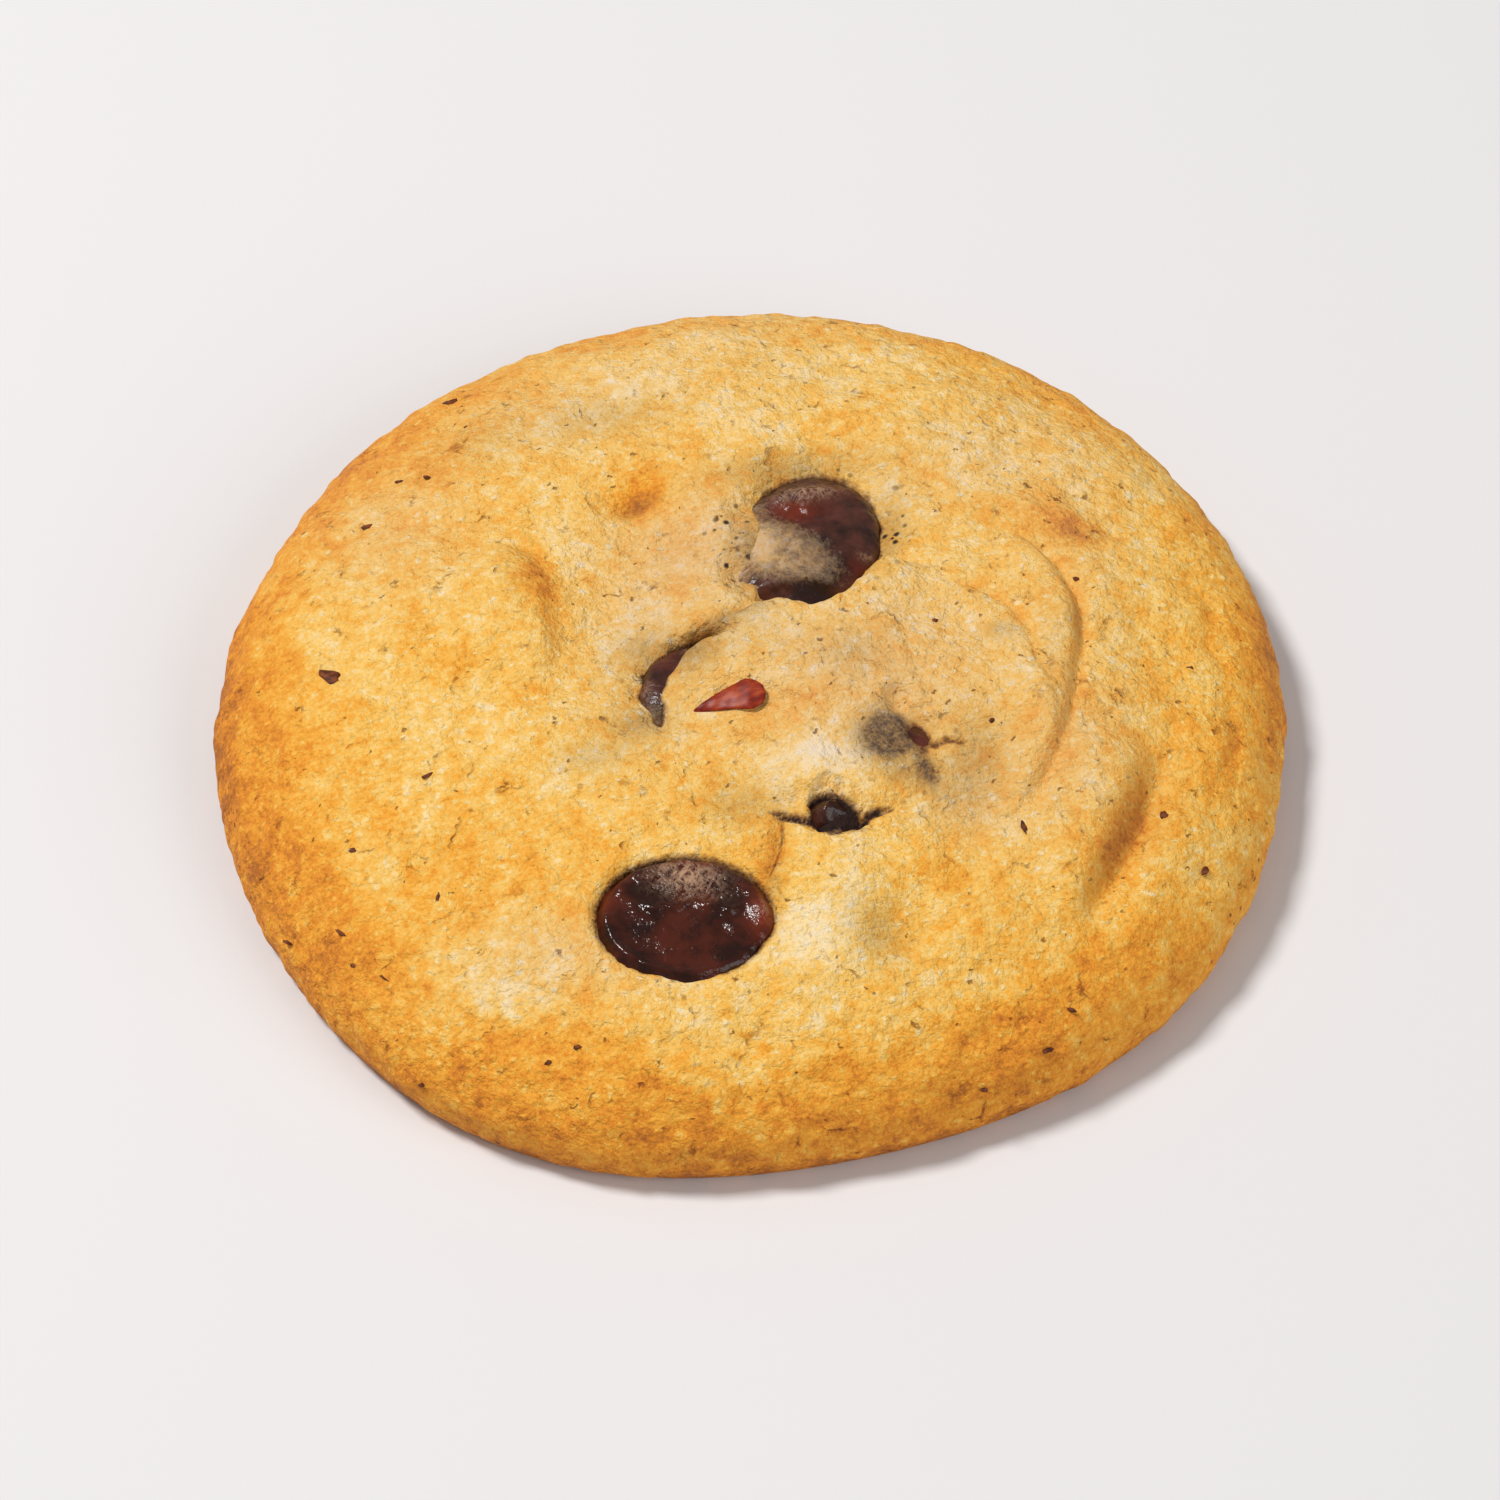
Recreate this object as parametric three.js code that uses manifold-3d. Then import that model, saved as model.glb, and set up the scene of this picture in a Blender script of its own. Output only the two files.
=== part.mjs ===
// A chocolate chip cookie: one soft round of baked dough with dark chocolate set in it.
// Millimetres. X runs to the right, Y to the back and Z up, from the middle of the flat underside.
import * as THREE from "three";
import { mergeVertices } from "three/addons/utils/BufferGeometryUtils.js";
import Module from "manifold-3d";

const wasm = await Module();
wasm.setup();

// The round of dough.
const RADIUS = 44;
const HEIGHT = 13;
const WIDEST_AT = 3; // height of the widest line of the side
const TUCK = 1.6; // how far the side turns in below its widest line
const CROWN_POWER = 3.4; // 2 is a dome, and more is a flatter top with a rounder shoulder
// Waves of the outline round the rim, as shares of the radius: how many waves, cosine part, sine part.
const OUTLINE = [
  [2, -0.0168, 0.0134],
  [3, 0.0056, -0.0021],
  [4, -0.0046, -0.0059],
  [5, -0.0044, 0.003],
  [6, 0.002, 0.0029],
];
const RINGS = 30; // rings of the crown and side, each with 8 more points than the one inside it
const TABLE_STEPS = 240; // steps in which the length of the side's profile is measured
const RELIEF_FADES = [0.86, 0.985]; // shares of the radius between which the relief dies out

// Swells and hollows of the top: middle, long and short half widths, turn in degrees, height.
const SWELLS = {
  leftLobe: [-27, 1, 13, 9, 84, 1],
  centreBasin: [-10.5, 3.5, 10, 5.5, 80, -1.3],
  backSaddle: [-2, 24, 13, 6, 0, 0.35],
  backDimple: [-9, 16.3, 3.4, 2.8, 0, -1],
  dimplePit: [-9.6, 15.6, 1.5, 0.7, 15, -0.5],
  mound: [9, -4.5, 12, 9.5, 10, 1.4],
  paleLobe: [5.5, -12.8, 4.6, 3.4, 0, 0.7],
  lowerLobe: [7.2, -24.2, 5.4, 4.4, 60, 1.2],
  lobeHollow: [11.6, -28.2, 3.4, 2.6, 40, -0.9],
  flank: [26.6, -5, 10, 3.2, 80, 0.7],
  valley: [29.8, -17.2, 8, 2.2, 66, -1.2],
  rimByTheValley: [34.2, -15.5, 9, 2.8, 66, 0.6],
  frontHollow: [-7, -34.6, 9, 2.6, -4, -0.6],
  frontRidge: [-16, -31.5, 9, 2.4, -22, 0.35],
  bruise: [25.2, 13.8, 4.4, 2.4, -20, 0.45],
  coinSeat: [-5.1, -26.8, 8.4, 7.2, 0, -0.45],
  backSeat: [5.2, 12.2, 9, 6.4, 73, -0.8],
  leftSeat: [-7.1, -3.4, 4.4, 1.7, 64, -1.5],
  crackSeat: [6, -18.1, 3.1, 1.5, 4, -0.8],
  veilSeat: [12.6, -10.8, 3.4, 2.8, -10, -0.6],
};

// Folds of the dough. The left side of each line, seen along it from above, is lifted. A groove of a width
// runs along it.
const FOLDS = {
  moundBack: {
    line: [
      [16, 7], [13, 8], [10, 8.2], [7.8, 7.3], [5, 4.3], [2, 3.4],
      [-3.5, 0.6], [-6.2, -3], [-6.4, -8],
    ],
    lift: 1.3,
    reach: 7,
    edge: 1.4,
    groove: 0.3,
    width: 0.9,
  },
  moundRight: {
    line: [
      [19.6, -17.8], [21.4, -15.4], [22.9, -12.4], [24.2, -8.8], [24.9, -5.4], [25.4, -2],
      [25.9, 1.6], [25.6, 5.2], [24.3, 8.2], [22.2, 11], [19.4, 12.6],
    ],
    lift: 1.1,
    reach: 4,
    edge: 1.3,
    groove: 0.5,
    width: 0.8,
  },
  innerLip: {
    line: [
      [22.7, -12], [23.3, -9], [23.4, -6.4], [22.9, -4], [22.2, -1.6], [21.7, 1],
      [20.6, 3.4], [18.7, 4.8], [16.4, 5.9], [13.4, 7.5],
    ],
    lift: 0.65,
    reach: 2.6,
    edge: 1,
    groove: 0.2,
    width: 0.8,
  },
  leftLobeEdge: {
    line: [
      [-17.2, -6], [-15.5, 0.2], [-16.2, 3.8], [-16.2, 7], [-18.2, 9.6], [-20.8, 12.6],
    ],
    lift: 1.05,
    reach: 6,
    edge: 2,
    groove: 0.15,
    width: 1.2,
  },
  crack: {
    line: [
      [0.2, -17.2], [2.4, -17.5], [4.3, -18.4], [6.2, -19.3], [8, -18.5], [9.9, -17.4],
      [12.5, -16.9],
    ],
    lift: 0.3,
    reach: 3,
    edge: 1,
    groove: 0.9,
    width: 0.7,
  },
  lobeCrease: {
    line: [
      [2.4, -17], [2.6, -19.4], [2.4, -21.2], [1.9, -22.8], [1, -24.8],
    ],
    lift: 0.6,
    reach: 3.5,
    edge: 1,
    groove: 0.6,
    width: 0.8,
  },
  valleyWall: {
    line: [
      [24.9, -26.6], [26, -24.4], [27.3, -21.6], [28.6, -19], [29.5, -16.4], [30.4, -14],
      [31.3, -11.6], [32.4, -8],
    ],
    lift: 1.2,
    reach: 5,
    edge: 2,
    groove: 0.6,
    width: 1,
  },
  frontShoulder: {
    line: [
      [-26, -33], [-20, -35.6], [-13, -37], [-6, -37.3], [2, -37], [8, -36],
    ],
    lift: 0.35,
    reach: 5,
    edge: 1.6,
    groove: 0.1,
    width: 1,
  },
};
const FOLD_TAPER = 0.2; // share of a fold's line over which it dies out at each end
const FOLD_STEPS = 30;

// Gentle lumps all over: heading in degrees, wavelength, height, phase in radians.
const LUMPS = [
  [12, 19, 0.12, 0.4],
  [75, 15, 0.11, 2.1],
  [138, 12, 0.1, 4.4],
  [50, 8.5, 0.07, 1.3],
  [105, 7, 0.06, 5.2],
  [165, 5.8, 0.05, 3],
];

// Chocolate: middle, half widths, half height, turn and tilts in degrees, and how square its edge is.
const COIN = { at: [-5.2, -27.1, 10], half: [7, 5.9, 2.2], turn: 0, tilt: [8, 0], power: 3.6 };
const CHIP_BACK = { at: [4.6, 11.6, 10.4], half: [7.9, 5.9, 2.5], turn: 73, tilt: [0, 2], power: 3 };
const CHIP_LEFT = { at: [-4, -4, 10.6], half: [5, 4.8, 2.3], turn: 0, tilt: [0, 0], power: 3 };
const CHIP_CRACK = { at: [6.1, -17.7, 11.2], half: [2.6, 2.4, 2.5], turn: 0, tilt: [0, 0], power: 2 };
const CHIP_VEILED = { at: [11.4, -11.4, 11.5], half: [4.2, 3.8, 1.9], turn: -20, tilt: [0, 0], power: 2.2 };
const CHIP_COLUMNS = 24;
const CHIP_ROWS = 12;
const CLEARANCE = 0.3; // gap between a chip and the dough that holds it

// The thin drop-shaped flake that is baked onto the mound.
const FLAKE = { tail: [-4.5, -7.4], head: [1.2, -6.4], halfWidth: 1.3, thickness: 0.9, sunk: 0.5 };
const FLAKE_STEPS = 10;

const DOUGH = { color: 0xe0ab5e, roughness: 0.85, metalness: 0 };
const CHOCOLATE = { color: 0x3b1d12, roughness: 0.35, metalness: 0 };

const radians = THREE.MathUtils.degToRad;

// Eased step from 0 at one edge to 1 at the other.
function smoothstep(from, to, value) {
  const t = Math.min(1, Math.max(0, (value - from) / (to - from)));
  return t * t * (3 - 2 * t);
}

// Radius of the outline at an angle round the cookie.
function outlineRadius(angle) {
  const wave = ([n, c, s]) => c * Math.cos(n * angle) + s * Math.sin(n * angle);
  return RADIUS * OUTLINE.reduce((sum, one) => sum + wave(one), 1);
}

// Points of the profile from the middle of the top over the shoulder to the edge of the underside,
// as [share of the radius, height], evenly spaced along its length.
function sideProfile(count) {
  const table = [];
  for (let i = 0; i <= TABLE_STEPS; i++) {
    const turn = (i / TABLE_STEPS) * (Math.PI / 2);
    const share = Math.pow(Math.sin(turn), 2 / CROWN_POWER);
    table.push([share, WIDEST_AT + (HEIGHT - WIDEST_AT) * Math.cos(turn)]);
  }
  for (let i = 1; i <= TABLE_STEPS; i++) {
    const turn = (i / TABLE_STEPS) * (Math.PI / 2);
    table.push([1 - (TUCK / RADIUS) * (1 - Math.cos(turn)), WIDEST_AT * (1 - Math.sin(turn))]);
  }
  const length = [0];
  for (let i = 1; i < table.length; i++) {
    const step = Math.hypot(RADIUS * (table[i][0] - table[i - 1][0]), table[i][1] - table[i - 1][1]);
    length.push(length[i - 1] + step);
  }
  const points = [];
  let i = 1;
  for (let k = 0; k <= count; k++) {
    const goal = (k / count) * length[length.length - 1];
    while (i < length.length - 1 && length[i] < goal) i++;
    const t = (goal - length[i - 1]) / (length[i] - length[i - 1]);
    points.push([0, 1].map((j) => table[i - 1][j] + t * (table[i][j] - table[i - 1][j])));
  }
  return points;
}

// Height of one swell: a bell over an oval.
function swell([cx, cy, long, short, turn, height], x, y) {
  const c = Math.cos(radians(turn));
  const s = Math.sin(radians(turn));
  const along = ((x - cx) * c + (y - cy) * s) / long;
  const across = ((y - cy) * c - (x - cx) * s) / short;
  return height * Math.exp(-(along * along + across * across));
}

// A fold's line as short straight steps through its points.
function foldSteps(fold) {
  const points = fold.line.map(([x, y]) => new THREE.Vector3(x, y, 0));
  return new THREE.CatmullRomCurve3(points, false, "catmullrom", 0.5).getPoints(FOLD_STEPS);
}

const foldLines = Object.values(FOLDS).map((fold) => ({ ...fold, steps: foldSteps(fold) }));

// Height that one fold adds: a lift that starts at the line and dies out over its reach, less the groove.
function foldHeight(fold, x, y) {
  let best = Infinity;
  let side = 1;
  let place = 0;
  for (let i = 0; i < FOLD_STEPS; i++) {
    const a = fold.steps[i];
    const b = fold.steps[i + 1];
    const [dx, dy] = [b.x - a.x, b.y - a.y];
    const t = Math.min(1, Math.max(0, ((x - a.x) * dx + (y - a.y) * dy) / (dx * dx + dy * dy)));
    const away = Math.hypot(x - a.x - t * dx, y - a.y - t * dy);
    if (away < best) {
      best = away;
      side = Math.sign(dx * (y - a.y) - dy * (x - a.x)) || 1;
      place = (i + t) / FOLD_STEPS;
    }
  }
  const distance = side * best;
  const ends = smoothstep(0, FOLD_TAPER, place) * smoothstep(1, 1 - FOLD_TAPER, place);
  const rise = smoothstep(-fold.edge / 2, fold.edge / 2, distance);
  const lift = fold.lift * rise * Math.exp(-Math.pow(Math.max(0, distance) / fold.reach, 2));
  return ends * (lift - fold.groove * Math.exp(-Math.pow(distance / fold.width, 2)));
}

// Height of the lumps: crossing waves.
function lumps(x, y) {
  return LUMPS.reduce((sum, [heading, wavelength, height, phase]) => {
    const along = x * Math.cos(radians(heading)) + y * Math.sin(radians(heading));
    return sum + height * Math.sin((2 * Math.PI * along) / wavelength + phase);
  }, 0);
}

// Everything that stands above or below the plain crown.
function relief(x, y) {
  const swells = Object.values(SWELLS).reduce((sum, one) => sum + swell(one, x, y), 0);
  const folds = foldLines.reduce((sum, fold) => sum + foldHeight(fold, x, y), 0);
  return swells + folds + lumps(x, y);
}

// Height of the dough's top surface above a point well inside the rim.
function topHeight(x, y) {
  const share = Math.hypot(x, y) / outlineRadius(Math.atan2(y, x));
  const crown = WIDEST_AT + (HEIGHT - WIDEST_AT) * Math.sqrt(1 - Math.pow(share, CROWN_POWER));
  return crown + relief(x, y);
}

// The round of dough before anything is set in it: rings of points from the top's middle over the side,
// closed by a flat fan underneath.
function doughGeometry() {
  const profile = sideProfile(RINGS);
  const rings = profile.map(([share, height], k) => {
    const points = Math.max(1, 8 * k);
    const fade = 1 - smoothstep(RELIEF_FADES[0], RELIEF_FADES[1], share);
    const onTop = height > WIDEST_AT ? fade : 0;
    return Array.from({ length: points }, (_, j) => {
      const angle = (2 * Math.PI * j) / points;
      const r = share * outlineRadius(angle);
      const [x, y] = [r * Math.cos(angle), r * Math.sin(angle)];
      return [x, y, height + onTop * relief(x, y)];
    });
  });
  const corners = [];
  for (let k = 1; k <= RINGS; k++) {
    const inner = rings[k - 1];
    const outer = rings[k];
    let i = 0;
    for (let j = 0; j < outer.length; j++) {
      const here = outer[j];
      const next = outer[(j + 1) % outer.length];
      corners.push(inner[i % inner.length], here, next);
      // The inner ring moves on with the outer one, but for one step in each eighth of the turn.
      if (k > 1 && j % k !== k - 1) {
        corners.push(inner[i % inner.length], next, inner[(i + 1) % inner.length]);
        i++;
      }
    }
  }
  const edge = rings[RINGS];
  const middle = [0, 0, 0];
  edge.forEach((point, j) => corners.push(middle, edge[(j + 1) % edge.length], point));
  const position = new THREE.Float32BufferAttribute(corners.flat(), 3);
  return new THREE.BufferGeometry().setAttribute("position", position);
}

// A chip or coin of chocolate: a sphere whose section is drawn out to a flat face with a rounded edge.
function chipGeometry(chip, grow) {
  const geometry = new THREE.SphereGeometry(1, CHIP_COLUMNS, CHIP_ROWS);
  geometry.rotateX(Math.PI / 2);
  const position = geometry.getAttribute("position");
  const [a, b, c] = chip.half.map((half) => half + grow);
  for (let i = 0; i < position.count; i++) {
    const [x, y, z] = [position.getX(i), position.getY(i), position.getZ(i)];
    const flat = Math.hypot(x, y);
    const size = Math.pow(Math.pow(flat, chip.power) + Math.pow(Math.abs(z), chip.power), -1 / chip.power);
    position.setXYZ(i, a * x * size, b * y * size, c * z * size);
  }
  geometry.rotateZ(radians(chip.turn));
  geometry.rotateX(radians(chip.tilt[0]));
  geometry.rotateY(radians(chip.tilt[1]));
  geometry.translate(...chip.at);
  return geometry;
}

// The flake: a drop-shaped outline, narrow at its tail and round at its head, lying along the dough.
function flakeGeometry() {
  const { tail, head, halfWidth, thickness, sunk } = FLAKE;
  const length = Math.hypot(head[0] - tail[0], head[1] - tail[1]);
  const half = Array.from({ length: FLAKE_STEPS + 1 }, (_, i) => {
    const turn = (Math.PI * i) / FLAKE_STEPS;
    const along = (length * (1 - Math.cos(turn))) / 2;
    return new THREE.Vector2(along, halfWidth * Math.sin(turn) * (0.35 + (0.85 * along) / length));
  });
  const back = half.slice(1, -1).reverse().map((p) => new THREE.Vector2(p.x, -p.y));
  const outline = new THREE.Shape([...half, ...back]);
  const geometry = new THREE.ExtrudeGeometry(outline, { depth: thickness, bevelEnabled: false, steps: 1 });
  const ground = Math.min(topHeight(...tail), topHeight(...head));
  geometry.rotateZ(Math.atan2(head[1] - tail[1], head[0] - tail[0]));
  geometry.translate(tail[0], tail[1], ground - sunk);
  return geometry;
}

// A closed geometry as a solid that can be joined and cut.
function solidFrom(geometry) {
  const bare = new THREE.BufferGeometry();
  bare.setAttribute("position", geometry.getAttribute("position"));
  if (geometry.index) bare.setIndex(geometry.index);
  const merged = mergeVertices(bare, 1e-4);
  const mesh = new wasm.Mesh({
    numProp: 3,
    vertProperties: merged.getAttribute("position").array,
    triVerts: Uint32Array.from(merged.index.array),
  });
  return new wasm.Manifold(mesh);
}

// A solid as a geometry with one position for each corner.
function geometryFrom(solid) {
  const mesh = solid.getMesh();
  const geometry = new THREE.BufferGeometry();
  geometry.setAttribute("position", new THREE.BufferAttribute(mesh.vertProperties, 3));
  geometry.setIndex(new THREE.BufferAttribute(mesh.triVerts, 1));
  return geometry;
}

function named(name, geometry, finish) {
  const mesh = new THREE.Mesh(geometry, new THREE.MeshStandardMaterial(finish));
  mesh.name = name;
  return mesh;
}

const chips = {
  coin: COIN,
  chip_back: CHIP_BACK,
  chip_left: CHIP_LEFT,
  chip_crack: CHIP_CRACK,
  chip_veiled: CHIP_VEILED,
};

const cookie = new THREE.Group();
let dough = solidFrom(doughGeometry()).add(solidFrom(flakeGeometry()));
for (const [name, chip] of Object.entries(chips)) {
  dough = dough.subtract(solidFrom(chipGeometry(chip, CLEARANCE)));
  cookie.add(named(name, chipGeometry(chip, 0), CHOCOLATE));
}
cookie.add(named("dough", geometryFrom(dough), DOUGH));

export default cookie;
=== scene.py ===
"""A chocolate chip cookie: one soft round of baked dough, folded and pale in the middle and browned at
the rim, with a glossy coin of chocolate, four more chips half hidden in the dough, a red flake and a few
dark flecks.

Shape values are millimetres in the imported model's frame: X to the right, Y to the back, Z up from the
underside. Meshes are in metres."""
import math

import bpy
import numpy as np
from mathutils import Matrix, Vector


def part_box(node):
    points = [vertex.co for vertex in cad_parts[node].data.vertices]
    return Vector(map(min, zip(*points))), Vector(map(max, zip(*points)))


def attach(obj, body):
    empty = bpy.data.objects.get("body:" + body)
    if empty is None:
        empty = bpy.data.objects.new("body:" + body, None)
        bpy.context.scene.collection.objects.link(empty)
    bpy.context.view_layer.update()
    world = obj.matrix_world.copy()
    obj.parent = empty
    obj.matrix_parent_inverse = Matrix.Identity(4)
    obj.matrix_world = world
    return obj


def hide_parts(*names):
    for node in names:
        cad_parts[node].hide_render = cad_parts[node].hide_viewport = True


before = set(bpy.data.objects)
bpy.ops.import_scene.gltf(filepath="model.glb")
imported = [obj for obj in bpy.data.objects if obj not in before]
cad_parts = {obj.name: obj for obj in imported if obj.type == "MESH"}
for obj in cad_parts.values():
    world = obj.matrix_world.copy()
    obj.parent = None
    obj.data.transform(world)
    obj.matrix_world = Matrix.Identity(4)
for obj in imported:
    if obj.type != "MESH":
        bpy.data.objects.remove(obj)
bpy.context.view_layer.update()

MM = 0.001

# The round of dough.
RADIUS = 44.0
HEIGHT = 13.0
WIDEST_AT = 3.0
TUCK = 1.6
CROWN_POWER = 3.4
# Waves of the outline: how many round the rim, cosine part and sine part, as shares of the radius.
OUTLINE = (
    (2, -0.0168, 0.0134),
    (3, 0.0056, -0.0021),
    (4, -0.0046, -0.0059),
    (5, -0.0044, 0.003),
    (6, 0.002, 0.0029),
)
CELLS = 280  # cells across the top and sides
UNDER_RINGS = 8
UNDER_BAKE = 0.9
PROFILE_STEPS = 600
RELIEF_FADES = (0.86, 0.985)  # shares of the radius
FAR_OUTSIDE = -9.0  # depth inside an oval or a gap where none is near
# Lumps along the dough's surface and patches of its baking, at random: wavelength, height and seed.
FINE_LUMPS = ((14.0, 0.1, 1), (5.5, 0.06, 2), (2.6, 0.05, 3), (1.3, 0.025, 4))
ROUGH_LUMPS = (1.9, 0.1, 5)
ROUGH_PATCH = (-26.5, 22.5, 6.0, 3.4, 25, 1.0)
BAKE_PATCHES = ((9.0, 0.03, 21), (4.0, 0.035, 22), (1.8, 0.04, 23))
RAGGED_OPENINGS = ((3.0, 1.0, 11), (1.3, 0.6, 12))

# Swells and hollows of the top: middle x, y, long and short half widths, turn in degrees, height.
SWELLS = {
    "left lobe": (-27, 1, 13, 9, 84, 1),
    "centre basin": (-10.5, 3.5, 10, 5.5, 80, -1.3),
    "back saddle": (-2, 24, 13, 6, 0, 0.35),
    "back dimple": (-9, 16.3, 3.4, 2.8, 0, -1),
    "dimple pit": (-9.6, 15.6, 1.5, 0.7, 15, -0.5),
    "mound": (9, -4.5, 12, 9.5, 10, 1.4),
    "pale lobe": (5.5, -12.8, 4.6, 3.4, 0, 0.7),
    "lower lobe": (7.2, -24.2, 5.4, 4.4, 60, 1.2),
    "lobe hollow": (11.6, -28.2, 3.4, 2.6, 40, -0.9),
    "flank": (26.6, -5, 10, 3.2, 80, 0.7),
    "valley": (29.8, -17.2, 8, 2.2, 66, -1.2),
    "rim by the valley": (34.2, -15.5, 9, 2.8, 66, 0.6),
    "front hollow": (-7, -34.6, 9, 2.6, -4, -0.6),
    "front ridge": (-16, -31.5, 9, 2.4, -22, 0.35),
    "bruise": (25.2, 13.8, 4.4, 2.4, -20, 0.45),
    "outer crease": (25.9, 2.7, 2.8, 0.8, 88, -0.45),
}


def fold_values(line, lift, reach, **given):
    """A fold's values: those given, and for the others a fold like most."""
    most = dict(edge=1.0, groove=0.2, width=0.8, roll=0.0, toast=0.1, slit=-0.5)
    return dict(line=line, lift=lift, reach=reach, **{**most, **given})


# Folds: the left side of each line, seen along it, is lifted in a step as wide as edge, and falls off
# over its reach. A groove of a width runs along it. roll pushes the edge out over the low side, toast
# browns that side, partly as its own browning and partly as painted shade under the step, and slit is
# the half width of a gap along the line, painted dark as its shadow.
FOLDS = {
    "mound back": fold_values(
        line=((16, 7), (13, 8), (10, 8.2), (7.8, 7.3), (5, 4.3), (2, 3.4), (-3.5, 0.6), (-6.2, -3),
              (-6.4, -8)),
        lift=1.3, reach=7, edge=1.4, groove=0.3, width=0.9, roll=0.5, toast=0.06,
    ),
    "mound right": fold_values(
        line=((19.6, -17.8), (21.4, -15.4), (22.9, -12.4), (24.2, -8.8), (24.9, -5.4), (25.4, -2),
              (25.9, 1.6), (25.6, 5.2), (24.3, 8.2), (22.2, 11), (19.4, 12.6)),
        lift=1.1, reach=4, edge=1.3, groove=0.5, roll=0.4, slit=-0.35,
    ),
    "inner lip": fold_values(
        line=((22.7, -12), (23.3, -9), (23.4, -6.4), (22.9, -4), (22.2, -1.6), (21.7, 1), (20.6, 3.4),
              (18.7, 4.8), (16.4, 5.9), (13.4, 7.5)),
        lift=0.65, reach=2.6, roll=0.2, toast=0.05,
    ),
    "left lobe edge": fold_values(
        line=((-17.2, -6), (-15.5, 0.2), (-16.2, 3.8), (-16.2, 7), (-18.2, 9.6), (-20.8, 12.6)),
        lift=1.05, reach=6, edge=2, groove=0.15, width=1.2, toast=0.12,
    ),
    "crack": fold_values(
        line=((0.2, -17.2), (2.4, -17.5), (4.3, -18.4), (6.2, -19.3), (8, -18.5), (9.9, -17.4),
              (12.5, -16.9)),
        lift=0.3, reach=3, edge=0.9, groove=0.9, width=0.7, roll=0.3, toast=0, slit=0.26,
    ),
    "lobe crease": fold_values(
        line=((2.4, -17), (2.6, -19.4), (2.4, -21.2), (1.9, -22.8), (1, -24.8)),
        lift=0.6, reach=3.5, groove=0.6, roll=0.3, toast=0.16, slit=-0.05,
    ),
    "spot crack": fold_values(
        line=((13.4, -10.6), (14.2, -11), (15.2, -10.8), (16.2, -10.7), (17.2, -11.3)),
        lift=0.1, reach=1.5, edge=0.8, width=0.4, slit=0.02,
    ),
    "valley wall": fold_values(
        line=((24.9, -26.6), (26, -24.4), (27.3, -21.6), (28.6, -19), (29.5, -16.4), (30.4, -14),
              (31.3, -11.6), (32.4, -8)),
        lift=1.2, reach=5, edge=2, groove=0.6, width=1, toast=0.05,
    ),
    "rim crease": fold_values(
        line=((35.2, -14), (36.7, -11.4), (38.2, -7.2), (37.9, -4), (37.6, 0.6), (36.3, 3.3),
              (36.7, 7.1), (35, 10)),
        lift=0.15, reach=3, groove=0.25, width=0.7, roll=0.1, slit=-0.4,
    ),
    "back left crease": fold_values(
        line=((-35, 11.5), (-33.3, 13.7), (-30.2, 15.2), (-27.2, 15.1), (-24, 13.6)),
        lift=0.12, reach=3, toast=0.08,
    ),
    "front left crack": fold_values(
        line=((-32, -27), (-30.8, -28.3), (-29.4, -29.4), (-27.8, -31), (-26, -32)),
        lift=0.1, reach=2, edge=0.8, groove=0.3, width=0.45, roll=0.1, toast=0.08, slit=-0.22,
    ),
    "left crack": fold_values(
        line=((-37.6, -21.4), (-36.8, -22.8), (-35.7, -24), (-35, -25.6)),
        lift=0.1, reach=2, edge=0.8, groove=0.3, width=0.45, roll=0.1, toast=0.08, slit=-0.22,
    ),
    "front shoulder": fold_values(
        line=((-26, -33), (-20, -35.6), (-13, -37), (-6, -37.3), (2, -37), (8, -36)),
        lift=0.35, reach=5, edge=1.6, groove=0.1, width=1, toast=0.06,
    ),
    "ledge": fold_values(
        line=((14.5, -37.5), (17.5, -35.4), (20.5, -34.4), (23.5, -33.2)),
        lift=0.15, reach=2.5, edge=0.9, width=0.7, roll=0.1, slit=-0.3,
    ),
}
FOLD_TAPER = 0.2
FOLD_STEPS = 30

# Gentle lumps: heading in degrees, wavelength, height, phase.
LUMPS = (
    (12, 19, 0.12, 0.4),
    (75, 15, 0.11, 2.1),
    (138, 12, 0.1, 4.4),
    (50, 8.5, 0.07, 1.3),
    (105, 7, 0.06, 5.2),
    (165, 5.8, 0.05, 3),
)


def chip_values(**given):
    """A chip's values: those given, and for the others an upright chip without any patches."""
    patches = dict.fromkeys(("covers", "cliffs", "blends", "films", "bare", "red", "bloom"), ())
    return {"turn": 0, "tilt": (0, 0), **patches, **given}
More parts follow.
